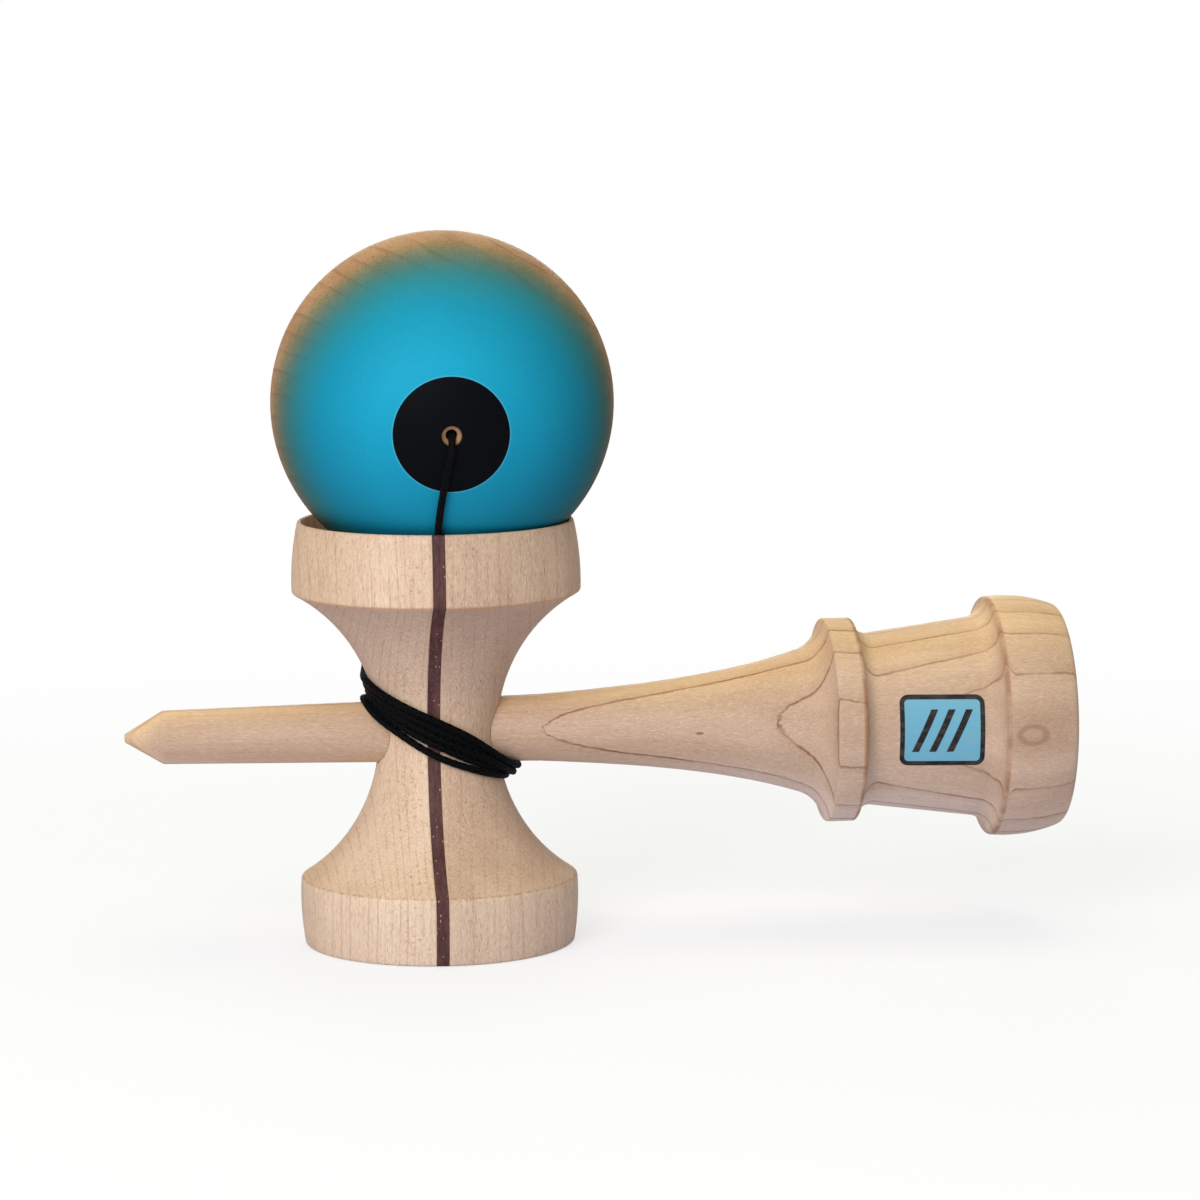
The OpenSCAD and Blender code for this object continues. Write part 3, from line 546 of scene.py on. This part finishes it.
def ball_paint():
    g = Graph("ball_paint")
    p = g.mm()
    v = g.vec("SUBTRACT", p, tuple(BALL_C))
    out = g.vec("NORMALIZE", v)
    across = g.math("DIVIDE", g.vec("DOT_PRODUCT", v, BALL_RINGS_ACROSS), BALL_RING_SPACING)
    rings = g.math("ADD", across, g.product(g.noise(g.times(p, *BALL_WARP_SCALE)), BALL_WARP))
    wood, height = maple(g, p, "Y", rings, WHITE, BALL_DARK, BALL_LINE, **BALL_MARKS)
    raw = g.mix(g.step(g.noise(g.times(p, *RAW_SCALE)), *MIDDLE), RAW_LIGHT, RAW_DARK)

    drift = g.noise(v, scale=DRIFT_SCALE)
    spray = g.noise(v, scale=SPRAY_SCALE, detail=3.0, rough=0.7)
    mottle = g.noise(v, scale=MOTTLE_SCALE, rough=0.6)
    at = g.degrees(out, PAINT_MIDDLE)
    for wave, reach in ((drift, DRIFT_REACH), (spray, SPRAY_REACH), (mottle, MOTTLE_REACH)):
        at = g.shifted(at, wave, reach)
    tint = g.ramp(g.math("DIVIDE", at, HALF_TURN), [(a / HALF_TURN, colour) for a, colour in PAINT_FADE])
    # Painted shade: the paint's colour is darkened towards the lower right and lightened towards the upper
    # left
    painted_shade = g.math("ADD", g.vec("DOT_PRODUCT", out, PAINTED_SHADE_LEAN), 1.0)
    painted_shade = g.product(painted_shade, g.step(g.split(out)[2], *PAINTED_SHADE_LOW))
    tint = g.mix(1.0, tint, painted_shade, "MULTIPLY")
    bare = g.step(at, *BARE_IN)
    colour = g.mix(1.0, tint, g.mix(bare, WHITE, wood), "MULTIPLY")

    angle = g.degrees(out, tuple(-BALL_AXIS))
    speckle = g.step(spray, *MIDDLE)
    colour = g.lay(colour, DOT_LIP, g.band(angle, *DOT_LIP_BAND))
    ink = g.mix(speckle, DOT_DARK, DOT_LIGHT)
    colour = g.mix(g.fall(angle, DOT_ANGLE - DOT_SOFT, DOT_ANGLE + DOT_SOFT), colour, ink)
    inside = g.fall(g.vec("LENGTH", v), *RAW_OUT)
    colour = g.mix(inside, colour, raw)
    rough = g.step(spray, *MIDDLE, *BALL_ROUGH)
    grit = g.math("ADD", g.product(spray, SPRAY_HEIGHT), g.product(height, bare))
    grit = g.product(grit, g.math("SUBTRACT", 1.0, inside))
    return g.finish(colour, rough, g.bump(grit, strength=0.22, depth=0.05), Specular_IOR_Level=0.05)


# The string's braid and fuzz, and the bead's worn paint
# The braid's grooves are painted darker than its crowns: painted shade between the strands
WEAVE_IN, WEAVE_GROOVE_SHADE, WEAVE_HIGH = (-0.2, 0.9), srgb(2, 2, 3), srgb(7, 8, 9)
FUZZ_SCALE, FUZZ_IN, FUZZ, FUZZ_HEIGHT = 7.0, (0.5, 0.8), (srgb(22, 23, 25), 0.5), 0.6
WEAR_SCALE, WEAR_IN, WEAR = 1.2, (0.45, 0.8), (srgb(58, 56, 54), 0.6)
BEAD_BLACK, BEAD_ROUGH = srgb(20, 21, 23), (0.3, 0.45)


def string_braid():
    g = Graph("string_braid")
    u, v, _ = g.split(g.node("ShaderNodeTexCoord").outputs["UV"])
    turn = g.product(u, BRAID_STRANDS * 2 * math.pi)
    run = g.product(v, 2 * math.pi / BRAID_PITCH)
    one = g.math("SINE", g.math("ADD", turn, run))
    two = g.math("SINE", g.math("SUBTRACT", turn, run))
    weave = g.math("MAXIMUM", one, two)
    fuzz = g.noise(g.mm(), scale=FUZZ_SCALE, detail=3.0, rough=0.7)
    # Painted shade: darker in the braid's grooves, lighter on its crowns
    colour = g.mix(g.step(weave, *WEAVE_IN), WEAVE_GROOVE_SHADE, WEAVE_HIGH)
    colour = g.lay(colour, FUZZ, g.step(fuzz, *FUZZ_IN))
    normal = g.bump(g.math("ADD", weave, g.product(fuzz, FUZZ_HEIGHT)), strength=0.5, depth=0.08)
    return g.finish(colour, rough=0.62, normal=normal, Sheen_Weight=0.02, Sheen_Roughness=0.4,
                    Specular_IOR_Level=0.06)


def bead_paint():
    g = Graph("bead_paint")
    wear = g.noise(g.mm(), scale=WEAR_SCALE, detail=3.0)
    colour = g.lay(BEAD_BLACK, WEAR, g.step(wear, *WEAR_IN))
    return g.finish(colour, g.step(wear, *MIDDLE, *BEAD_ROUGH), g.bump(wear, strength=0.1, depth=0.05))


MATERIALS = {
    "handle": handle_maple(),
    "cross_left_half": cross_maple(
        "left_maple", spacing=1.35, slant=0.04, light=srgb(236, 209, 180), dark=srgb(225, 196, 166),
        pores=0.5, late=0.32),
    "cross_right_half": cross_maple(
        "right_maple", spacing=2.1, slant=-0.05, light=srgb(218, 189, 161), dark=srgb(204, 174, 147),
        pores=0.7, late=0.22),
    "cross_stripe": stripe_wood(),
    "ball": ball_paint(),
    "bead": bead_paint(),
}
STRING = string_braid()


# Smooth shading of the solids: joins the faces' edges, over metres, and keeps real corners sharp
MERGE_REACH = 1e-6
SHARP_ANGLE = math.radians(32)

# The film's faces: distance from its plane in metres, and the least cosine of their turn from the ball's axis
FILM_REACH, FILM_FACING = 0.1 * MM, 0.9


def without_film(tree, geometry):
    """The ball without the film of no thickness between its spike hole's wall and the cone behind that."""
    def node(kind, operation, *values):
        n = tree.nodes.new(kind)
        n.operation = operation
        for socket, value in zip(n.inputs, values):
            if isinstance(value, bpy.types.NodeSocket):
                tree.links.new(value, socket)
            else:
                socket.default_value = value
        return n

    axis = tuple(BALL_AXIS)
    place = tree.nodes.new("GeometryNodeInputPosition").outputs[0]
    facing = tree.nodes.new("GeometryNodeInputNormal").outputs[0]
    from_centre = node("ShaderNodeVectorMath", "SUBTRACT", place, tuple(BALL_C * MM)).outputs["Vector"]
    height = node("ShaderNodeVectorMath", "DOT_PRODUCT", from_centre, axis).outputs["Value"]
    off = node("ShaderNodeMath", "SUBTRACT", height, SPIKE_HOLE_END * MM).outputs[0]
    off = node("ShaderNodeMath", "ABSOLUTE", off).outputs[0]
    turned = node("ShaderNodeVectorMath", "DOT_PRODUCT", facing, axis).outputs["Value"]
    turned = node("ShaderNodeMath", "ABSOLUTE", turned).outputs[0]
    near = node("FunctionNodeCompare", "LESS_THAN", off, FILM_REACH).outputs["Result"]
    flat = node("FunctionNodeCompare", "GREATER_THAN", turned, FILM_FACING).outputs["Result"]
    delete = tree.nodes.new("GeometryNodeDeleteGeometry")
    delete.domain = "FACE"
    tree.links.new(geometry, delete.inputs["Geometry"])
    tree.links.new(node("FunctionNodeBooleanMath", "AND", near, flat).outputs[0], delete.inputs["Selection"])
    return delete.outputs["Geometry"]


def smooth_group(name, cut=None):
    tree = bpy.data.node_groups.new(name, "GeometryNodeTree")
    tree.interface.new_socket("Geometry", in_out="INPUT", socket_type="NodeSocketGeometry")
    tree.interface.new_socket("Geometry", in_out="OUTPUT", socket_type="NodeSocketGeometry")
    start = tree.nodes.new("NodeGroupInput")
    end = tree.nodes.new("NodeGroupOutput")
    merge = tree.nodes.new("GeometryNodeMergeByDistance")
    merge.inputs["Distance"].default_value = MERGE_REACH
    angle = tree.nodes.new("GeometryNodeInputMeshEdgeAngle")
    sharp = tree.nodes.new("FunctionNodeCompare")
    sharp.operation = "GREATER_THAN"
    sharp.inputs[1].default_value = SHARP_ANGLE
    normal = tree.nodes.new("GeometryNodeSetMeshNormal")
    normal.mode = "SHARPNESS"
    links = tree.links
    geometry = cut(tree, start.outputs[0]) if cut else start.outputs[0]
    links.new(geometry, merge.inputs["Geometry"])
    links.new(merge.outputs["Geometry"], normal.inputs["Mesh"])
    links.new(angle.outputs["Unsigned Angle"], sharp.inputs[0])
    links.new(sharp.outputs["Result"], normal.inputs["Edge Sharpness"])
    links.new(normal.outputs["Mesh"], end.inputs[0])
    return tree


SMOOTH = smooth_group("turned_shading")
SMOOTH_OPEN = smooth_group("ball_shading", without_film)
for node_name, material in MATERIALS.items():
    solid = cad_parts[node_name]
    solid.data.materials.clear()
    solid.data.materials.append(material)
    modifier = solid.modifiers.new("turned_shading", "NODES")
    modifier.node_group = SMOOTH_OPEN if node_name == "ball" else SMOOTH


# Paths, as arrays of points in millimetres
PATH_STEP = 0.3
SPLINE_SAMPLES = 12


def smooth_through(points, n):
    """A smooth curve through points, with n samples from each to the next."""
    p = np.asarray(points, float)
    p = np.vstack([2 * p[0] - p[1], p, 2 * p[-1] - p[-2]])
    t = np.linspace(0, 1, n, endpoint=False)[:, None]
    out = []
    for a, b, c, d in zip(p, p[1:], p[2:], p[3:]):
        square = 2 * a - 5 * b + 4 * c - d
        cube = 3 * b - a - 3 * c + d
        out.append((2 * b + (c - a) * t + square * t ** 2 + cube * t ** 3) / 2)
    return np.vstack(out + [p[-2:-1]])


def resample(path, step):
    """A path with samples a step apart."""
    run = np.concatenate([[0], np.cumsum(np.linalg.norm(np.diff(path, axis=0), axis=1))])
    n = max(2, int(round(run[-1] / step)) + 1)
    at = np.linspace(0, run[-1], n)
    return np.stack([np.interp(at, run, path[:, i]) for i in range(3)], 1)


def relax(path, rounds):
    """Eases a path's bends, with its ends held."""
    path = path.copy()
    for _ in range(rounds):
        path[1:-1] += ((path[:-2] + path[2:]) / 2 - path[1:-1]) / 2
    return path


def length_of(path):
    return float(np.linalg.norm(np.diff(path, axis=0), axis=1).sum())


# Where the five passes cross each side: cords out from the wood, and height in millimetres
AT_BACK = [(0.0, 37.9), (0.0, 39.4), (0.0, 40.8), (0.0, 42.2), (0.0, 43.6)]
AT_GRIP = [(0.0, 29.9), (0.0, 31.0), (0.9, 29.9), (0.9, 31.1), (1.8, 30.9)]
AT_FRONT = [(0.05, 33.9), (0.0, 36.1), (0.0, 37.4), (0.0, 38.8), (0.0, 40.2)]
AT_SPIKE = [(0.9, 43.4), (0.0, 44.1), (0.0, 45.3), (0.0, 45.9), (0.0, 46.3)]

# Where the last pass leaves the turns: turns so far, and millimetres out and up
CLIMB_AT, CLIMB_OUT, CLIMB_Z = 4.81, 0.1, 48.0

# Samples from each crossing to the next, and those at the start that the hole's route stands for
WIND_SAMPLES, WIND_SKIPPED = 24, 4

# Settling of the turns: rounds, and the share of each move in a round
SETTLE_ROUNDS = 160
EASE_SHARE, HOME_SHARE, PUSH_SHARE = 0.22, 0.012, 0.32

# Samples that are too near along the cord to push each other, and samples in the hole
NEXT_SAMPLES, HOLE_SAMPLES = 6, 14

# Gaps in millimetres, where the handle stands clear of the waist, and how far each flare goes round
WOOD_GAP, LEAST_GAP = 0.03, 1e-6
HANDLE_FROM = WAIST_R - 1.0
FLARE_REACH = 0.98


def waist_radius(z):
    """Radius of the cross piece between its bands."""
    up, low = z > WAIST_TOP, z < WAIST_LOW
    dz = np.where(up, z - WAIST_TOP, np.where(low, WAIST_LOW - z, 0.0))
    flare = np.where(up, UPPER_FLARE_R, LOWER_FLARE_R)
    dz = np.minimum(dz, flare * FLARE_REACH)
    return WAIST_R + flare - np.sqrt(flare ** 2 - dz ** 2)


def handle_radius(x):
    """Radius of the handle's shaft and of the start of its grip."""
    return SHAFT_TIP_R + (x - SHAFT_TIP_X) * SHAFT_GAIN / SHAFT_LENGTH


def winding():
    """The turns from the back by the grip's side, the front and the spike's side."""
    keys = []
    for k, passes in enumerate(zip(AT_BACK, AT_GRIP, AT_FRONT, AT_SPIKE)):
        for q, (out, z) in enumerate(passes):
            keys.append((k + q / len(passes), out * CORD_D, z))
    keys.append((CLIMB_AT, CLIMB_OUT, CLIMB_Z))
    path = []
    for u, out, z in smooth_through(keys, WIND_SAMPLES)[WIND_SKIPPED:]:
        a = math.pi / 2 - 2 * math.pi * u
        r = float(waist_radius(np.array(z))) + CORD_R + out
        path.append((r * math.cos(a), r * math.sin(a), z))
    return np.array(path)


def settle(path):
    """Lets the turns find room: cords push each other apart and stay off the wood."""
    home = path.copy()
    index = np.arange(len(path))
    apart = np.abs(index[:, None] - index[None]) > NEXT_SAMPLES
    for _ in range(SETTLE_ROUNDS):
        bend = np.zeros_like(path)
        bend[1:-1] = (path[:-2] + path[2:]) / 2 - path[1:-1]
        path = path + EASE_SHARE * bend + HOME_SHARE * (home - path)
        gap = path[:, None] - path[None]
        far = np.linalg.norm(gap, axis=2)
        hit = apart & (far < CORD_D)
        push = np.where(hit, (CORD_D - far) / np.maximum(far, LEAST_GAP), 0.0)
        path = path + PUSH_SHARE * np.einsum("ij,ijk->ik", push, gap)
        rho = np.hypot(path[:, 0], path[:, 1])
        need = waist_radius(path[:, 2]) + CORD_R + WOOD_GAP
        lift = np.maximum(need - rho, 0.0)[:, None]
        lift[:HOLE_SAMPLES] = 0.0
        path[:, :2] += lift * path[:, :2] / rho[:, None]
        off = path[:, 1:] - np.array([0.0, CROSS_Z])
        dist = np.linalg.norm(off, axis=1)
        need = handle_radius(path[:, 0]) + CORD_R + WOOD_GAP
        inside = (dist < need) & (np.abs(path[:, 0]) > HANDLE_FROM)
        path[inside, 1:] += (off * ((need - dist) / dist)[:, None])[inside]
        path[0] = home[0]
        path[-1] = home[-1]
    return path


# The string's route before its turns, from them over the rim, and under the ball to its front
HOLE_BACK = [
    (0, -2, 37.5), (0, 3, 37.5), (0, 7, 37.5), (0.3, 8.8, 37.5), (1.2, 10.3, 37.2), (2.8, 11, 36.4)]
LEAD = [
    (-9.5, 24.4, 61.5), (-9, 25, 63.9), (-8, 25.1, 67), (-7, 25.2, 70), (-6, 25.1, 73),
    (-5, 24.7, 75), (-3.4, 24.1, 75.9), (-1.8, 23.2, 75.5), (-0.4, 22.4, 74.2),
    (2.5, 20.4, 71.2)]
UNDER = [
    (2.5, 20.4, 71.2), (5.7, 16.6, 67.5), (8, 12, 64.9), (9.4, 6.8, 63.2),
    (9.9, 1.4, 62.4), (9.4, -3.8, 62.5), (8, -8.9, 63.4), (6, -13.5, 65.2),
    (3.4, -17.5, 67.8), (0.7, -20.5, 71.1), (-0.9, -21.9, 73.3), (-1.6, -22.7, 74.8),
    (-1.5, -24.6, 77.1), (-1.3, -26.5, 80), (-0.9, -28, 82.9), (-0.5, -29.2, 85.9),
    (-0.1, -29.9, 88.3)]

# First sample of the settled turns that the string takes, and rounds that ease its bends
FIRST_TURN = 5
BOUND_ROUNDS, FREE_ROUNDS = 24, 16

# The bend into the ball's hole, in millimetres and degrees, and the places on the ball's axis behind it
BEND_R, BEND_TURNS = 2.3 * CORD_D, (0, 22.5, 45, 67.5, 90)
BALL_GAP = 0.15
IN_BALL = (-22.0, -14.0, BEAD_TOP + 0.3)


def ball_point(along_axis):
    return BALL_C + BALL_AXIS * along_axis


def into_ball():
    """The string's bend from the ball's front into its hole."""
    down = np.array([0.0, 0.0, -1.0])
    down -= BALL_AXIS * (down @ BALL_AXIS)
    down /= np.linalg.norm(down)
    corner = ball_point(-BALL_R - CORD_R - BALL_GAP)
    centre = corner + BEND_R * (BALL_AXIS + down)
    return [centre - BEND_R * (BALL_AXIS * math.cos(a) + down * math.sin(a)) for a in np.radians(BEND_TURNS)]


# The string's meshes: sides of the cord, and a direction that starts its first side
CORD_SIDES = 16
SIDE_GUIDE = (0.3, 0.5, 0.8)


def side_vectors(tangent):
    """A vector square to each tangent, with no twist from each to the next."""
    side = np.zeros_like(tangent)
    start = np.cross(tangent[0], SIDE_GUIDE)
    side[0] = start / np.linalg.norm(start)
    for i in range(1, len(tangent)):
        s = side[i - 1] - tangent[i] * (side[i - 1] @ tangent[i])
        side[i] = s / np.linalg.norm(s)
    return side


def tube(name, path, radius=CORD_R):
    """A braided cord's mesh along a path in millimetres, with the turn and the run in its UVs."""
    path = resample(np.asarray(path, float), PATH_STEP)
    n, sides = len(path), CORD_SIDES
    tangent = np.gradient(path, axis=0)
    tangent /= np.linalg.norm(tangent, axis=1)[:, None]
    side = side_vectors(tangent)
    other = np.cross(tangent, side)
    run = np.arange(n) * length_of(path) / (n - 1)
    turn = np.arange(sides) * 2 * math.pi / sides
    strand = BRAID_STRANDS * turn[None]
    wave = run[:, None] * 2 * math.pi / BRAID_PITCH
    braid = np.maximum(np.sin(strand + wave), np.sin(strand - wave))
    r = radius * (1 - BRAID_DEPTH + BRAID_DEPTH * braid)
    round_it = np.cos(turn)[None, :, None] * side[:, None] + np.sin(turn)[None, :, None] * other[:, None]
    ring = path[:, None] + r[..., None] * round_it
    verts = np.vstack([ring.reshape(-1, 3), path[:1], path[-1:]]) * MM
    faces = []
    for i in range(n - 1):
        for j in range(sides):
            k = (j + 1) % sides
            faces.append((i * sides + j, i * sides + k, (i + 1) * sides + k, (i + 1) * sides + j))
    quads = len(faces)
    for j in range(sides):
        k = (j + 1) % sides
        faces.append((n * sides, k, j))
        faces.append((n * sides + 1, (n - 1) * sides + j, (n - 1) * sides + k))
    mesh = bpy.data.meshes.new(name)
    mesh.from_pydata(verts.tolist(), [], faces)
    uv = mesh.uv_layers.new(name="run")
    at = 0
    for f, poly in enumerate(mesh.polygons):
        poly.use_smooth = True
        i, j = divmod(f, sides) if f < quads else (0, 0)
        corners = ((j, i), (j + 1, i), (j + 1, i + 1), (j, i + 1))
        for a, b in corners[:poly.loop_total]:
            uv.data[at].uv = (a / sides, run[min(b, n - 1)])
            at += 1
    mesh.materials.append(STRING)
    obj = bpy.data.objects.new(name, mesh)
    bpy.context.scene.collection.objects.link(obj)
    return obj, path


turns = settle(winding())
bound_path = relax(resample(np.vstack([HOLE_BACK, turns[FIRST_TURN:], LEAD]), PATH_STEP), BOUND_ROUNDS)
bound, bound_line = tube("string_bound", bound_path)
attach(bound, "toy")
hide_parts("string_anchor", "string_winding", "string_lead", "handle_knot")

free_path = relax(resample(np.vstack([UNDER, into_ball()]), PATH_STEP), FREE_ROUNDS)
free, free_line = tube("string_free", free_path)
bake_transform(free)
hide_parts("string_front")

hole_path = np.vstack([free_path[-1], *(ball_point(at) for at in IN_BALL)])
hole_run, _ = tube("string_in_hole", hole_path)
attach(hole_run, "string_end")
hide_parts("string_in_ball")


# The bead's knot: an overhand knot drawn down on the bead, with its short end, in millimetres above the bead
KNOT_SAMPLES, KNOT_FROM, KNOT_TO = 60, 0.08, 0.92
KNOT_R, KNOT_CORE_R, KNOT_WAVE, KNOT_RISE = 0.62, 0.25, 0.55, 1.15
KNOT_END = [(0.5, -0.6, 2.3), (0.6, -0.8, 3.4)]
KNOT_GAP, KNOT_STEP, KNOT_CORD_R = 0.1, 0.25, CORD_R * 0.9


def knot_path():
    out = [(0.0, 0.0, 0.0)]
    for t in np.linspace(KNOT_FROM, KNOT_TO, KNOT_SAMPLES):
        a = 2 * math.pi * t
        r = KNOT_R * (2 + math.cos(3 * a)) / 2 + KNOT_CORE_R
        out.append((r * math.cos(2 * a), r * math.sin(2 * a), KNOT_WAVE * math.sin(3 * a) + KNOT_RISE))
    return np.array(out + KNOT_END)


ball_side = np.cross(BALL_AXIS, (1.0, 0.0, 0.0))
ball_side /= np.linalg.norm(ball_side)
ball_other = np.cross(BALL_AXIS, ball_side)
knot_line = []
for side_off, other_off, rise in resample(smooth_through(knot_path(), SPLINE_SAMPLES), KNOT_STEP):
    knot_line.append(ball_point(BEAD_TOP + KNOT_GAP + rise) + side_off * ball_side + other_off * ball_other)
knot, _ = tube("string_knot", knot_line, radius=KNOT_CORD_R)
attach(knot, "string_end")
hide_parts("bead_knot")


# Camera: place in metres, turns in degrees, and sensor and lens in millimetres
CAMERA_AT = (-0.070222, -0.815621, 0.169079)
CAMERA_TILT, CAMERA_ROLL, CAMERA_PAN = 82.43222, 0.42945, -6.99024
SENSOR, LENS = 36.0, 140.965
NEAREST = 0.05
camera_turn = Euler([math.radians(turn) for turn in (CAMERA_TILT, CAMERA_ROLL, CAMERA_PAN)])
camera_data = bpy.data.cameras.new("camera")
camera_data.sensor_width = SENSOR
camera_data.lens = LENS
camera_data.clip_start = NEAREST
camera = bpy.data.objects.new("camera", camera_data)
camera.matrix_world = Matrix.Translation(CAMERA_AT) @ camera_turn.to_matrix().to_4x4()
bpy.context.scene.collection.objects.link(camera)
bpy.context.scene.camera = camera


# Background and floor, in metres
FILL_COLOUR, FILL_STRENGTH = (0.98, 1.0, 0.95, 1.0), 0.43
FLOOR_REACH, FLOOR_DROP = 4.0, 0.0001
PAPER_LIT, PAPER_SEEN = (0.63, 0.63, 0.8, 1.0), (0.9, 0.91, 0.98, 1.0)

# Where the floor turns to plain white, so that no edge of it shows: middle and distances in millimetres
PAPER_MIDDLE, PAPER_STEP = (25.0, 0.0, 0.0), (60.0, 420.0, 0.66, 1.0)

# Lamps, in metres and watts
LIGHT_AIM = (0.02, 0.0, 0.06)
LAMPS = (
    {"name": "key", "at": (-0.44, -0.86, 0.56), "size": 0.6, "power": 7.7, "colour": (1.0, 0.97, 0.98)},
    {"name": "top", "at": (0.1, 0.1, 1.1), "size": 0.9, "power": 3.9, "colour": (1.0, 0.97, 0.62)},
    {"name": "back", "at": (0.15, 1.15, 0.32), "size": 0.5, "power": 2.4, "colour": (1.0, 0.98, 1.0)},
)


def seen_share(tree):
    """1 for rays from the camera and through what is clear, else 0."""
    path = tree.nodes.new("ShaderNodeLightPath")
    either = tree.nodes.new("ShaderNodeMath")
    either.operation = "MAXIMUM"
    tree.links.new(path.outputs["Is Camera Ray"], either.inputs[0])
    tree.links.new(path.outputs["Is Transmission Ray"], either.inputs[1])
    return either.outputs["Value"]


def studio_world():
    """A soft fill, which the camera sees as white."""
    world = bpy.data.worlds.new("studio")
    world.use_nodes = True
    tree = world.node_tree
    tree.nodes.clear()
    fill = tree.nodes.new("ShaderNodeBackground")
    fill.inputs["Color"].default_value = FILL_COLOUR
    fill.inputs["Strength"].default_value = FILL_STRENGTH
    white = tree.nodes.new("ShaderNodeBackground")
    white.inputs["Color"].default_value = WHITE
    either = tree.nodes.new("ShaderNodeMixShader")
    out = tree.nodes.new("ShaderNodeOutputWorld")
    tree.links.new(seen_share(tree), either.inputs["Fac"])
    tree.links.new(fill.outputs["Background"], either.inputs[1])
    tree.links.new(white.outputs["Background"], either.inputs[2])
    tree.links.new(either.outputs["Shader"], out.inputs["Surface"])
    return world


def floor_paper():
    """Pale paper that keeps the toy's shadow and turns to plain white away from it."""
    g = Graph("floor_paper")
    away = g.vec("LENGTH", g.vec("SUBTRACT", g.mm(), PAPER_MIDDLE))
    share = g.product(seen_share(g.tree), g.step(away, *PAPER_STEP))
    glow = g.node("ShaderNodeEmission", inputs={"Strength": 1.0})
    either = g.node("ShaderNodeMixShader", inputs={"Fac": share})
    tone = g.mix(seen_share(g.tree), PAPER_LIT, PAPER_SEEN)
    g.finish(tone, rough=0.9, Specular_IOR_Level=0.0)
    g.tree.links.new(g.bsdf.outputs["BSDF"], either.inputs[1])
    g.tree.links.new(glow.outputs["Emission"], either.inputs[2])
    g.tree.links.new(either.outputs["Shader"], g.out.inputs["Surface"])
    return g.mat


def area_light(name, at, size, power, colour):
    data = bpy.data.lights.new(name, "AREA")
    data.shape = "DISK"
    data.size = size
    data.energy = power
    data.color = colour
    obj = bpy.data.objects.new(name, data)
    obj.location = at
    obj.rotation_mode = "QUATERNION"
    obj.rotation_quaternion = (Vector(LIGHT_AIM) - Vector(at)).to_track_quat("-Z", "Y")
    bpy.context.scene.collection.objects.link(obj)


bpy.context.scene.world = studio_world()
floor_corners = [(x * FLOOR_REACH, y * FLOOR_REACH, 0) for x, y in ((-1, -1), (1, -1), (1, 1), (-1, 1))]
floor_mesh = bpy.data.meshes.new("floor")
floor_mesh.from_pydata(floor_corners, [], [(0, 1, 2, 3)])
floor_mesh.materials.append(floor_paper())
floor = bpy.data.objects.new("floor", floor_mesh)
floor.location.z = -FLOOR_DROP
bpy.context.scene.collection.objects.link(floor)
for lamp in LAMPS:
    area_light(**lamp)

bpy.context.scene.view_settings.view_transform = "Standard"
